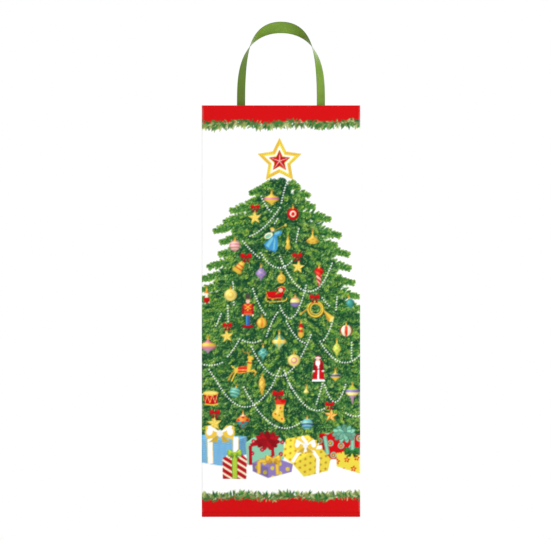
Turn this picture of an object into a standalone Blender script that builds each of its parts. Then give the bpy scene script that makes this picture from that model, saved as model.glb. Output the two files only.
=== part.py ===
"""Wine gift bag: a folded paper sheet split at its creases, stiffening boards and two ribbon handles.

Metres, +Z up. The bag stands on z = 0, centred on x = 0 and y = 0, with its front towards -Y.
Every panel between two creases is an object of its own, and each moving group hangs from an
empty that stands on the crease it turns about.
"""

import math

import bmesh
import bpy
import numpy as np
from mathutils import Matrix, Vector

# Driving dimensions
WIDTH = 0.127
DEPTH = 0.089
HEIGHT = 0.330
PAPER = 0.0003
BOARD = 0.0008
HEM_BOARD = 0.0007
GAP = 0.0003
SLACK = 0.0001
HEM = 0.038

# Ribbon handles
RIBBON_WIDTH = 0.0095
RIBBON_THICKNESS = 0.0004
LOOP_HALF_SPAN = 0.032
LOOP_RISE = 0.0622
LOOP_SPAN_POWER = 2.2
LOOP_RISE_POWER = 3.0
TAIL_DEPTH = 0.012
TWIST_TAIL = math.radians(-88)
TWIST_EDGE = math.radians(-43)
TWIST_TOP = math.radians(75)
TWIST_DELAY = 1.8
LOOP_STATIONS = 56
TAIL_STATIONS = 8

# Worked out from the driving dimensions
HALF_W = WIDTH / 2
HALF_D = DEPTH / 2
INNER_X = HALF_W - PAPER
INNER_Y = HALF_D - PAPER
STEP_UP = PAPER + GAP
FLAP_LEVEL = 2 * STEP_UP
CARD_BOTTOM = 3 * STEP_UP
TRAY_SIDE = CARD_BOTTOM + BOARD + SLACK
TRAY_END = TRAY_SIDE + 3 * PAPER
HEM_FACE = PAPER + GAP + HEM_BOARD + GAP + PAPER
SPINE = HEM_FACE + SLACK
GUSSET_AXIS_INSET = PAPER + GAP + PAPER + SLACK
CREASE_Z = HALF_D
HEM_BOTTOM = HEIGHT - HEM
LAPPING = 0.010
SIDE_FLAP = 0.040
FLAP_RELIEF = 0.003
FOLD_LAND = 0.001
SEAM_TAB = 0.016
EDGE_MARGIN = 0.002
CURVE_SAMPLES = 4001

COLLECTION = "wine_gift_bag"


def clear_scene():
    """Removes whatever the open file holds, so that only the bag is in it."""
    for old in list(bpy.data.objects):
        bpy.data.objects.remove(old, do_unlink=True)
    bag = bpy.data.collections.new(COLLECTION)
    bpy.context.scene.collection.children.link(bag)
    return bag


def finish(name, colour, roughness):
    """A plain Principled material."""
    made = bpy.data.materials.new(name)
    made.use_nodes = True
    shader = made.node_tree.nodes["Principled BSDF"]
    shader.inputs["Base Color"].default_value = (*colour, 1.0)
    shader.inputs["Roughness"].default_value = roughness
    made.diffuse_color = (*colour, 1.0)
    return made


class Bag:
    """Collects the objects and places each one under the pivot of its body."""

    def __init__(self):
        self.collection = clear_scene()
        self.printed = finish("printed_paper", (0.82, 0.78, 0.70), 0.35)
        self.red = finish("red_printed_paper", (0.66, 0.012, 0.015), 0.35)
        self.plain = finish("plain_paper_back", (0.86, 0.85, 0.82), 0.6)
        self.board = finish("grey_board", (0.52, 0.49, 0.44), 0.85)
        self.ribbon = finish("green_ribbon", (0.16, 0.28, 0.05), 0.45)

    def pivot(self, name, place, parent=None):
        """An empty on a crease, which carries everything that turns about it."""
        empty = bpy.data.objects.new(name, None)
        self.collection.objects.link(empty)
        empty.location = place
        empty.empty_display_size = 0.01
        if parent:
            empty.parent = parent
            empty.location = Vector(place) - Vector(parent["stands_at"])
        empty["stands_at"] = place
        return empty

    def add(self, name, data, look, pivot=None, turn=None, place=(0, 0, 0)):
        """Links an object with its finish, in its world place, under its pivot."""
        piece = bpy.data.objects.new(name, data)
        data.materials.append(look)
        self.collection.objects.link(piece)
        world = Matrix.Translation(place) @ (turn or Matrix())
        if pivot:
            piece.parent = pivot
            world = Matrix.Translation(-Vector(pivot["stands_at"])) @ world
        piece.matrix_basis = world
        return piece

    def folded(self, name, section, along, ends, look, pivot=None, side=-1):
        """A sheet bent along straight creases.

        section is its open cross-section, as points in the two axes other than along, and the
        sheet runs from ends[0] to ends[1] on the axis along. side is 1 or -1, for the side of
        the section that the paper's thickness goes to.
        """
        axis = "xyz".index(along)
        others = [i for i in range(3) if i != axis]
        mesh = bpy.data.meshes.new(name)
        shape = bmesh.new()
        corners = []
        for point in section:
            corner = [0.0, 0.0, 0.0]
            corner[axis] = ends[0]
            corner[others[0]], corner[others[1]] = point
            corners.append(shape.verts.new(corner))
        edges = [shape.edges.new(pair) for pair in zip(corners, corners[1:])]
        grown = bmesh.ops.extrude_edge_only(shape, edges=edges)["geom"]
        push = Vector([ends[1] - ends[0] if i == axis else 0.0 for i in range(3)])
        moved = [v for v in grown if isinstance(v, bmesh.types.BMVert)]
        bmesh.ops.translate(shape, verts=moved, vec=push)
        shape.to_mesh(mesh)
        shape.free()
        piece = self.add(name, mesh, look, pivot)
        self.thicken(piece, PAPER, side)
        return piece

    def thicken(self, piece, thickness, offset):
        """Gives an open sheet its thickness."""
        wall = piece.modifiers.new("thickness", "SOLIDIFY")
        wall.thickness = thickness
        wall.offset = offset
        wall.use_even_offset = True

    def flat(self, name, outline, x, look, pivot=None):
        """A flat piece of paper in a plane of constant x, from its outline in y and z."""
        curve = bpy.data.curves.new(name, "CURVE")
        curve.dimensions = "2D"
        curve.fill_mode = "BOTH"
        curve.extrude = PAPER / 2
        spline = curve.splines.new("POLY")
        spline.points.add(len(outline) - 1)
        for point, (y, z) in zip(spline.points, outline):
            point.co = (y, z, 0.0, 1.0)
        spline.use_cyclic_u = True
        upright = Matrix(((0, 0, 1, 0), (1, 0, 0, 0), (0, 1, 0, 0), (0, 0, 0, 1)))
        return self.add(name, curve, look, pivot, upright, (x, 0, 0))

    def block(self, name, low, high, look, pivot=None):
        """A plain board from its lowest and highest corners."""
        mesh = bpy.data.meshes.new(name)
        shape = bmesh.new()
        bmesh.ops.create_cube(shape, size=1.0)
        size = [b - a for a, b in zip(low, high)]
        middle = [(a + b) / 2 for a, b in zip(low, high)]
        bmesh.ops.scale(shape, verts=shape.verts, vec=size)
        bmesh.ops.translate(shape, verts=shape.verts, vec=middle)
        shape.to_mesh(mesh)
        shape.free()
        return self.add(name, mesh, look, pivot)


def inset(outline, margin):
    """Moves every side of a convex outline (counter-clockwise) inwards by margin."""
    lines = []
    for (ax, ay), (bx, by) in zip(outline, outline[1:] + outline[:1]):
        length = math.hypot(bx - ax, by - ay)
        nx, ny = -(by - ay) / length, (bx - ax) / length
        lines.append((nx, ny, nx * ax + ny * ay + margin))
    corners = []
    for (a, b, c), (d, e, f) in zip(lines[-1:] + lines[:-1], lines):
        det = a * e - b * d
        corners.append(((c * e - b * f) / det, (a * f - c * d) / det))
    return corners


def base(bag):
    """The tray that the bag stands on: four bottom flaps, folded up round the base card."""
    bag.folded(
        "front_bottom_flap",
        [(-HALF_D, TRAY_END - GAP / 2), (-HALF_D, 0.0), (LAPPING, 0.0)],
        "x",
        (-HALF_W + FLAP_RELIEF, HALF_W - FLAP_RELIEF),
        bag.red,
        side=1,
    )
    climb = LAPPING + GAP + STEP_UP
    bag.folded(
        "back_bottom_flap",
        [
            (HALF_D, TRAY_END - GAP / 2),
            (HALF_D, 0.0),
            (climb, 0.0),
            (LAPPING, STEP_UP),
            (-LAPPING, STEP_UP),
        ],
        "x",
        (-HALF_W + FLAP_RELIEF, HALF_W - FLAP_RELIEF),
        bag.red,
        side=-1,
    )
    for side, sign in (("left", -1), ("right", 1)):
        bag.folded(
            f"{side}_bottom_flap",
            [
                (sign * HALF_W, TRAY_SIDE - GAP / 2),
                (sign * HALF_W, 0.0),
                (sign * (HALF_W - FOLD_LAND), 0.0),
                (sign * (HALF_W - FLAP_RELIEF), FLAP_LEVEL),
                (sign * (HALF_W - SIDE_FLAP), FLAP_LEVEL),
            ],
            "y",
            (-INNER_Y + GAP, INNER_Y - GAP),
            bag.red,
            side=sign,
        )
    edge = 2 * GAP + PAPER
    bag.block(
        "base_card",
        (-HALF_W + edge, -HALF_D + edge, CARD_BOTTOM),
        (HALF_W - edge, HALF_D - edge, CARD_BOTTOM + BOARD),
        bag.board,
    )


def main_panel(bag, name, facing, bottom, look, pivot):
    """The front or back panel, with the narrow returns that turn round its two side creases."""
    edge = facing * (HALF_D - SPINE + GAP / 2)
    face = facing * HALF_D
    plan = [(-HALF_W, edge), (-HALF_W, face), (HALF_W, face), (HALF_W, edge)]
    bag.folded(name, plan, "z", (bottom, HEIGHT), look, pivot, side=-facing)


def mouth(bag, side, facing, pivot):
    """The turned-in hem along the top of a main panel, its board, and the ribbon's glued ends."""
    near = facing * (INNER_Y - GAP)
    far = facing * (INNER_Y - GAP - HEM_BOARD)
    leaf = facing * (HALF_D - HEM_FACE)
    reach = (-INNER_X + GAP, INNER_X - GAP)
    section = [(near, HEIGHT), (leaf, HEIGHT), (leaf, HEM_BOTTOM)]
    bag.folded(f"{side}_hem", section, "x", reach, bag.red, pivot, side=facing)
    bag.block(
        f"{side}_hem_board",
        (-INNER_X + EDGE_MARGIN, min(near, far), HEM_BOTTOM + EDGE_MARGIN),
        (INNER_X - EDGE_MARGIN, max(near, far), HEIGHT - PAPER - GAP),
        bag.board,
        pivot,
    )


def gusset(bag, side, sign, pivots):
    """One side of the bag above its folding foot, in a rear and a front half with their hems."""
    face = sign * (HALF_W - PAPER / 2)
    leaf = sign * (HALF_W - PAPER - GAP - PAPER / 2)
    edge = HALF_D - SPINE
    rear = [(0.0, CREASE_Z), (edge, CREASE_Z), (edge, HEIGHT), (0.0, HEIGHT)]
    front = [
        (-edge, TRAY_SIDE),
        (-HALF_D + TRAY_SIDE, TRAY_SIDE),
        (0.0, CREASE_Z),
        (0.0, HEIGHT),
        (-edge, HEIGHT),
    ]
    for half, outline, low in (("rear", rear, 0.0), ("front", front, -edge)):
        pivot = pivots[f"{side}_{half}_gusset"]
        trimmed = [(y, HEIGHT if z > HEM_BOTTOM else z) for y, z in inset(outline, GAP / 2)]
        bag.flat(f"{side}_{half}_gusset", trimmed, face, bag.printed, pivot)
        hem = [
            (low + GAP, HEM_BOTTOM),
            (low + edge - GAP, HEM_BOTTOM),
            (low + edge - GAP, HEIGHT),
            (low + GAP, HEIGHT),
        ]
        bag.flat(f"{side}_{half}_gusset_hem", hem, leaf, bag.red, pivot)


def foot_triangles(bag, side, sign, pivots):
    """The two triangles that tuck in under a gusset when the bottom folds up."""
    face = sign * (HALF_W - PAPER / 2)
    ground = [(-HALF_D + TRAY_SIDE, TRAY_SIDE), (HALF_D - TRAY_SIDE, TRAY_SIDE), (0.0, CREASE_Z)]
    name = f"{side}_base_triangle"
    bag.flat(name, inset(ground, GAP / 2), face, bag.printed, pivots[name])
    edge = INNER_Y - GAP / 2
    corner = [
        (HALF_D - TRAY_END, TRAY_END),
        (edge, TRAY_END),
        (edge, CREASE_Z),
        (0.0, CREASE_Z),
    ]
    name = f"{side}_rear_triangle"
    bag.flat(name, inset(corner, GAP / 2), face, bag.printed, pivots[name])


def loop_line():
    """The ribbon's middle line: (x, height over the bag's top edge), evenly spaced.

    A superellipse: (|x| / half span) ** a + (height / rise) ** b = 1, traced by an angle and
    then spaced evenly by its length.
    """
    angle = np.linspace(0.0, math.pi, CURVE_SAMPLES)
    cosine = np.cos(angle)
    x = -LOOP_HALF_SPAN * np.sign(cosine) * np.abs(cosine) ** (2 / LOOP_SPAN_POWER)
    height = LOOP_RISE * np.abs(np.sin(angle)) ** (2 / LOOP_RISE_POWER)
    length = np.concatenate([[0.0], np.cumsum(np.hypot(np.diff(x), np.diff(height)))])
    even = np.linspace(0.0, length[-1], LOOP_STATIONS)
    return np.interp(even, length, x), np.interp(even, length, height)


def strip(bag, name, middles, across, pivot, facing):
    """A length of ribbon from its middle line and its half-width vectors, two points a station."""
    points = np.stack([middles - across, middles + across], axis=1).reshape(-1, 3)
    points[:, 1] *= facing
    rungs = range(0, 2 * (len(middles) - 1), 2)
    mesh = bpy.data.meshes.new(name)
    mesh.from_pydata(points.tolist(), [], [(i, i + 1, i + 3, i + 2) for i in rungs])
    mesh.update()
    piece = bag.add(name, mesh, bag.ribbon, pivot)
    bag.thicken(piece, RIBBON_THICKNESS, 0.0)


def ribbon_line():
    """Where the ribbon's middle line stands behind the panel's face, at the bag's top edge."""
    return HALF_D - HEM_FACE - GAP - RIBBON_THICKNESS / 2 - RIBBON_WIDTH / 2 * math.cos(TWIST_EDGE)


def ribbon_loop(bag, name, facing, pivot):
    """The free loop of a handle. It turns over as it rises, and shows its other face on top."""
    x, height = loop_line()
    run = np.column_stack([np.gradient(x), np.zeros_like(x), np.gradient(height)])
    run /= np.linalg.norm(run, axis=1)[:, None]
    outward = np.column_stack([-run[:, 2], np.zeros_like(x), run[:, 0]])
    rise = (1 - np.abs(np.linspace(-1.0, 1.0, len(x)))) ** TWIST_DELAY
    twist = TWIST_EDGE + (TWIST_TOP - TWIST_EDGE) * rise ** 2 * (3 - 2 * rise)
    forward = np.array([0.0, 1.0, 0.0])
    across = outward * np.sin(twist)[:, None] + forward * np.cos(twist)[:, None]
    middles = np.column_stack([x, np.full_like(x, ribbon_line()), HEIGHT + GAP + height])
    strip(bag, name, middles, across * RIBBON_WIDTH / 2, pivot, facing)


def ribbon_ends(bag, name, facing, pivot):
    """The two ends of a ribbon, which lie against the hem and twist as they come up out of it."""
    rise = np.linspace(0.0, 1.0, TAIL_STATIONS)
    twist = TWIST_TAIL + (TWIST_EDGE - TWIST_TAIL) * rise
    stand_off = HALF_D - HEM_FACE - GAP - RIBBON_THICKNESS / 2 - RIBBON_WIDTH / 2 * np.cos(twist)
    height = HEIGHT - TAIL_DEPTH + TAIL_DEPTH * rise
    for side, sign in (("left", -1.0), ("right", 1.0)):
        across = np.column_stack([sign * np.sin(twist), np.cos(twist), np.zeros_like(rise)])
        middles = np.column_stack([np.full_like(rise, sign * LOOP_HALF_SPAN), stand_off, height])
        strip(bag, f"{name}_{side}", middles, across * RIBBON_WIDTH / 2, pivot, facing)


def pivots_of(bag):
    """An empty on every crease or edge that a body turns about, in the order of the fold."""
    made = {}
    made["back_foot"] = bag.pivot("back_foot_pivot", (0.0, INNER_Y, TRAY_END))
    made["back"] = bag.pivot("back_pivot", (0.0, HALF_D, CREASE_Z), made["back_foot"])
    for side, sign in (("left", -1), ("right", 1)):
        inner = sign * (HALF_W - GUSSET_AXIS_INSET)
        rear, front = f"{side}_rear_gusset", f"{side}_front_gusset"
        made[rear] = bag.pivot(f"{rear}_pivot", (inner, HALF_D - SPINE, 0.0), made["back"])
        made[front] = bag.pivot(f"{front}_pivot", (sign * HALF_W, 0.0, 0.0), made[rear])
        ground, corner = f"{side}_base_triangle", f"{side}_rear_triangle"
        made[ground] = bag.pivot(f"{ground}_pivot", (sign * INNER_X, 0.0, TRAY_SIDE))
        made[corner] = bag.pivot(f"{corner}_pivot", (sign * INNER_X, INNER_Y, 0.0), made["back_foot"])
    hinge = (HALF_W - GUSSET_AXIS_INSET, -HALF_D + SPINE, 0.0)
    made["front"] = bag.pivot("front_pivot", hinge, made["right_front_gusset"])
    made["front_handle"] = bag.pivot("front_handle_pivot", (0.0, -HALF_D, HEIGHT), made["front"])
    made["back_handle"] = bag.pivot("back_handle_pivot", (0.0, HALF_D, HEIGHT), made["back"])
    return made


def build():
    """Builds the whole bag, body by body."""
    bag = Bag()
    pivots = pivots_of(bag)
    base(bag)
    foot = [(-HALF_W, HALF_D), (HALF_W, HALF_D)]
    ends = (TRAY_END + GAP / 2, CREASE_Z - GAP / 2)
    bag.folded("back_foot", foot, "z", ends, bag.printed, pivots["back_foot"])
    main_panel(bag, "back_panel", 1, CREASE_Z + GAP / 2, bag.printed, pivots["back"])
    main_panel(bag, "front_panel", -1, TRAY_END + GAP / 2, bag.printed, pivots["front"])
    tab = [(-INNER_X + GAP, INNER_Y - GAP), (-INNER_X + GAP + SEAM_TAB, INNER_Y - GAP)]
    low, high = CREASE_Z + EDGE_MARGIN, HEM_BOTTOM - EDGE_MARGIN
    bag.folded("seam_tab", tab, "z", (low, high), bag.plain, pivots["back"])
    for side, facing in (("front", -1), ("back", 1)):
        mouth(bag, side, facing, pivots[side])
        ribbon_ends(bag, f"{side}_ribbon_end", facing, pivots[side])
        ribbon_loop(bag, f"{side}_ribbon_handle", facing, pivots[f"{side}_handle"])
    for side, sign in (("left", -1), ("right", 1)):
        gusset(bag, side, sign, pivots)
        foot_triangles(bag, side, sign, pivots)


build()
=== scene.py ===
"""Looks of a printed paper wine bag: its Christmas print, paper, board and ribbon handles."""

import logging
import math
from collections.abc import Sequence
from dataclasses import dataclass, field
from enum import Enum

import bpy
import numpy as np
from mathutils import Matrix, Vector


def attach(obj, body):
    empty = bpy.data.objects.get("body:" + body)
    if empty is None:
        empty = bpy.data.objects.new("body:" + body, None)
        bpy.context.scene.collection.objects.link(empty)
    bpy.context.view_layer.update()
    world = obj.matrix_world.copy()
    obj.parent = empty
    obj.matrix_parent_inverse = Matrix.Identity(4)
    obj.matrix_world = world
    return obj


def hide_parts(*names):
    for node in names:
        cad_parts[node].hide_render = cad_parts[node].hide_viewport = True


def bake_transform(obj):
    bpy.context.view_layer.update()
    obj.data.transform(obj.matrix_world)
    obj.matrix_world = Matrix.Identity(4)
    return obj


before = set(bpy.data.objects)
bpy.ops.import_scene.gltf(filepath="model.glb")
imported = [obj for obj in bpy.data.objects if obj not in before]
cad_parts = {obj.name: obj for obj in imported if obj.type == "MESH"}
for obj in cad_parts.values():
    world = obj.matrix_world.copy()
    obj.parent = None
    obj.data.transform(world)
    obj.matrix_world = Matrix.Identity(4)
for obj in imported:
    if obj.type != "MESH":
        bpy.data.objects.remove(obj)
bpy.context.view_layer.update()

LOG = logging.getLogger("wine_bag")
MM = 0.001

# The bag, in metres
HALF_W = 0.0635
HALF_D = 0.0445
HEIGHT = 0.330
PAPER = 0.0003
CREASE_RADIUS = 0.0008
RETURN_END = 0.0425
FOOT_CREASE = 0.0445
TRAY_SIDE = 0.0027
TRAY_END = 0.0036
PRINT_STEP = 0.00068

# The flat print, in millimetres: u runs round the bag, v runs up
TILE = 216.0
SHEET_HEIGHT = 330.0
TURN_U = 65.16

Array = np.ndarray
Colour = tuple[float, float, float]
Triple = tuple[float, float, float]
Point = tuple[float, float]
Place = Point | Array
Piece = bpy.types.Object
Material = bpy.types.Material
Socket = bpy.types.NodeSocket
Input = Socket | float


class Ink(Enum):
    """The inks of the print, as display colours from 0 to 255."""

    WHITE = (255, 255, 255)
    RED = (210, 12, 16)
    CRIMSON = (178, 18, 30)
    SCARLET = (226, 60, 34)
    PINK = (222, 134, 150)
    BLUSH = (240, 200, 176)
    ORANGE = (236, 140, 40)
    GOLD = (238, 198, 70)
    OCHRE = (204, 152, 54)
    LEMON = (244, 224, 74)
    BUTTER = (248, 226, 122)
    CREAM = (252, 244, 208)
    LIME = (176, 206, 60)
    FRESH = (206, 222, 116)
    LEAF = (114, 162, 60)
    GREEN = (50, 120, 52)
    PINE = (30, 88, 44)
    DEEP = (16, 62, 40)
    SAGE = (162, 172, 114)
    OLIVE = (122, 136, 76)
    MOSS = (74, 104, 56)
    MINT = (140, 204, 172)
    TEAL = (62, 150, 140)
    AQUA = (120, 196, 214)
    BLUE = (66, 150, 206)
    NAVY = (60, 92, 160)
    VIOLET = (142, 124, 188)
    MAUVE = (186, 148, 172)
    BROWN = (110, 70, 34)
    BLACK = (40, 36, 34)

    @property
    def rgb(self) -> Array:
        """The ink as three numbers from 0 to 1."""
        return np.array(self.value, float) / 255.0


def linear(colour: Array) -> Array:
    """Turns display colours from 0 to 1 into linear light."""
    return np.where(colour <= 0.04045, colour / 12.92, ((colour + 0.055) / 1.055) ** 2.4)


def turned(points: Array, angle: float) -> Array:
    """Turns points (n, 2) about the origin by an angle in degrees, anticlockwise."""
    a = math.radians(angle)
    return points @ np.array([[math.cos(a), math.sin(a)], [-math.sin(a), math.cos(a)]])


def heading(angle: float) -> Array:
    """The unit vector at an angle in degrees, anticlockwise from the +u direction."""
    a = math.radians(angle)
    return np.array([math.cos(a), math.sin(a)])


def turned_axes(u: Array, v: Array, centre: Place, angle: float) -> tuple[Array, ...]:
    """Reads places along axes turned by an angle in degrees about a centre.

    Args:
        u: Places round the bag, in mm.
        v: Heights, in mm.
        centre: Where both turned axes are zero.
        angle: The turn, anticlockwise.

    Returns:
        The places along the first turned axis and along the second.
    """
    a = math.radians(angle)
    du, dv = u - centre[0], v - centre[1]
    return du * math.cos(a) + dv * math.sin(a), dv * math.cos(a) - du * math.sin(a)


def distance_along(line: Array) -> Array:
    """How far along a line each of its points (n, 2) lies."""
    return np.concatenate([[0.0], np.cumsum(np.hypot(*np.diff(line, axis=0).T))])


class PrintSheet:
    """The print of one face with half a gusset on each side, which repeats round the bag.

    It is kept as a raster of ink dots, PITCH mm apart, that wraps from side to side.
    """

    COLUMNS = 1000
    PITCH = TILE / COLUMNS
    ROWS = int(SHEET_HEIGHT / PITCH) + 1

    def __init__(self) -> None:
        """Starts with bare white paper."""
        self.ink = np.ones((self.ROWS, self.COLUMNS, 3)) * Ink.WHITE.rgb

    def window(self, low: Place, high: Place) -> tuple[Array, ...]:
        """Finds the dots inside a rectangle.

        Args:
            low: Its lowest u and v.
            high: Its highest u and v.

        Returns:
            Row numbers, column numbers, u and v, shaped to spread over a grid.
        """
        first = math.floor((low[0] + TILE / 2) / self.PITCH)
        last = math.ceil((high[0] + TILE / 2) / self.PITCH)
        bottom = max(0, math.floor(low[1] / self.PITCH))
        top = min(self.ROWS, math.ceil(high[1] / self.PITCH) + 1)
        columns = np.arange(first, last + 1)
        rows = np.arange(bottom, max(bottom, top))
        u = (columns + 0.5) * self.PITCH - TILE / 2
        v = (rows + 0.5) * self.PITCH
        return rows[:, None], (columns % self.COLUMNS)[None, :], u[None, :], v[:, None]

    def around(self, centre: Place, reach: float) -> tuple[Array, ...]:
        """Finds the dots in a square that reaches equally far each way from its centre."""
        low = (centre[0] - reach, centre[1] - reach)
        return self.window(low, (centre[0] + reach, centre[1] + reach))

    def lay(self, rows: Array, columns: Array, mask: Array, ink: Array) -> None:
        """Lays ink where the mask is set."""
        under = self.ink[rows, columns]
        self.ink[rows, columns] = np.where(mask[..., None], np.clip(ink, 0.0, 1.0), under)

    def inside(self, corners: Sequence[Place]) -> tuple[Array, ...]:
        """Finds the dots inside an outline: a level line from one crosses an odd number of sides.

        Args:
            corners: The outline's corners.

        Returns:
            Row numbers, column numbers, u, v and the mask of the dots inside.
        """
        outline = np.asarray(corners, float)
        rows, columns, u, v = self.window(outline.min(0), outline.max(0))
        mask = np.zeros(np.broadcast(u, v).shape, bool)
        for (ax, ay), (bx, by) in zip(outline, np.roll(outline, -1, axis=0)):
            spans = (ay > v) != (by > v)
            cross = ax + (v - ay) * (bx - ax) / (by - ay if by != ay else 1.0)
            mask ^= spans & (u < cross)
        return rows, columns, u, v, mask

    def polygon(self, corners: Sequence[Place], ink: Array) -> None:
        """Fills an outline with one ink."""
        rows, columns, _, _, mask = self.inside(corners)
        self.lay(rows, columns, mask, ink)

    def ellipse(self, centre: Place, radii: Point, ink: Array, tilt: float = 0.0) -> None:
        """Fills an ellipse: (x / a) squared plus (y / b) squared is at most 1."""
        rows, columns, u, v = self.around(centre, max(radii))
        x, y = turned_axes(u, v, centre, tilt)
        self.lay(rows, columns, (x / radii[0]) ** 2 + (y / radii[1]) ** 2 <= 1.0, ink)

    def ring(self, centre: Place, radius: float, width: float, ink: Array) -> None:
        """Draws a circle with a pen of some width."""
        rows, columns, u, v = self.around(centre, radius + width)
        away = np.abs(np.hypot(u - centre[0], v - centre[1]) - radius)
        self.lay(rows, columns, away <= width / 2, ink)

    def stroke(self, start: Place, end: Place, widths: Point, inks: Sequence[Array]) -> None:
        """Draws a brush stroke whose width and ink run evenly from start to end.

        Args:
            start: Where the brush comes down.
            end: Where it lifts off.
            widths: Its width at the start and at the end.
            inks: Its ink at the start and at the end.
        """
        reach = max(widths) / 2
        low = (min(start[0], end[0]) - reach, min(start[1], end[1]) - reach)
        high = (max(start[0], end[0]) + reach, max(start[1], end[1]) + reach)
        rows, columns, u, v = self.window(low, high)
        run = (end[0] - start[0], end[1] - start[1])
        square = run[0] ** 2 + run[1] ** 2 + 1e-9
        share = ((u - start[0]) * run[0] + (v - start[1]) * run[1]) / square
        share = np.clip(share, 0.0, 1.0)
        away = np.hypot(u - start[0] - share * run[0], v - start[1] - share * run[1])
        width = widths[0] + (widths[1] - widths[0]) * share
        ink = inks[0] + (inks[1] - inks[0]) * share[..., None]
        self.lay(rows, columns, away <= width / 2, ink)

    def line(self, points: Sequence[Place], width: float, ink: Array) -> None:
        """Draws an even line through points."""
        for start, end in zip(points, points[1:]):
            self.stroke(start, end, (width, width), (ink, ink))

    def softened(self) -> Array:
        """The inks averaged over three dots each way, as the eye blends them."""
        blend = sum(np.roll(self.ink, k, axis=1) for k in (-1, 0, 1)) / 3
        padded = np.concatenate([blend[:1], blend, blend[-1:]])
        return (padded[:-2] + padded[1:-1] + padded[2:]) / 3

    def read(self, u: Array, v: Array) -> Array:
        """The print at places on the sheet, between its four nearest dots.

        Args:
            u: Places round the bag, in mm.
            v: Heights, in mm.

        Returns:
            Linear colours, with one more axis than u.
        """
        source = self.softened()
        across = (u + TILE / 2) / self.PITCH - 0.5
        up = np.clip(v / self.PITCH - 0.5, 0, self.ROWS - 1.001)
        left, low = np.floor(across).astype(int), np.floor(up).astype(int)
        a, b = (across - left)[..., None], (up - low)[..., None]
        right = (left + 1) % self.COLUMNS
        left = left % self.COLUMNS
        below = source[low, left] * (1 - a) + source[low, right] * a
        above = source[low + 1, left] * (1 - a) + source[low + 1, right] * a
        return linear(below * (1 - b) + above * b)


@dataclass
class FirSprig:
    """A twig with needles along both sides, which are dark at the stem and light at their tips."""

    length: float = 6.0
    needle: float = 2.1
    pairs: int = 6
    spread: float = 48.0
    width: float = 0.46
    closing: float = 0.35

    def draw(self, sheet: PrintSheet, foot: Place, angle: float, inks: Sequence[Ink]) -> None:
        """Draws the twig.

        Args:
            sheet: The print it goes on.
            foot: Where its stem starts.
            angle: The way its stem points, in degrees from the +u direction.
            inks: Its stem, the needles' feet and the needles' tips.
        """
        stem, dark, light = (ink.rgb for ink in inks)
        way = heading(angle)
        tip = foot + way * self.length
        thin = (self.width, self.width * 0.8)
        sheet.stroke(foot, tip, (0.7, 0.4), (stem, dark))
        for number in range(self.pairs):
            share = (number + 0.5) / self.pairs
            start = foot + way * self.length * share
            for side in (-1, 1):
                lean = heading(angle + side * self.spread * (1 - self.closing * share))
                reach = self.needle * (1 - 0.4 * share)
                bright = dark + (light - dark) * (0.35 + 0.65 * share)
                sheet.stroke(start, start + reach * lean, thin, (dark, bright))
        sheet.stroke(tip, tip + way * self.needle * 0.5, thin, (light, light))


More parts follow.
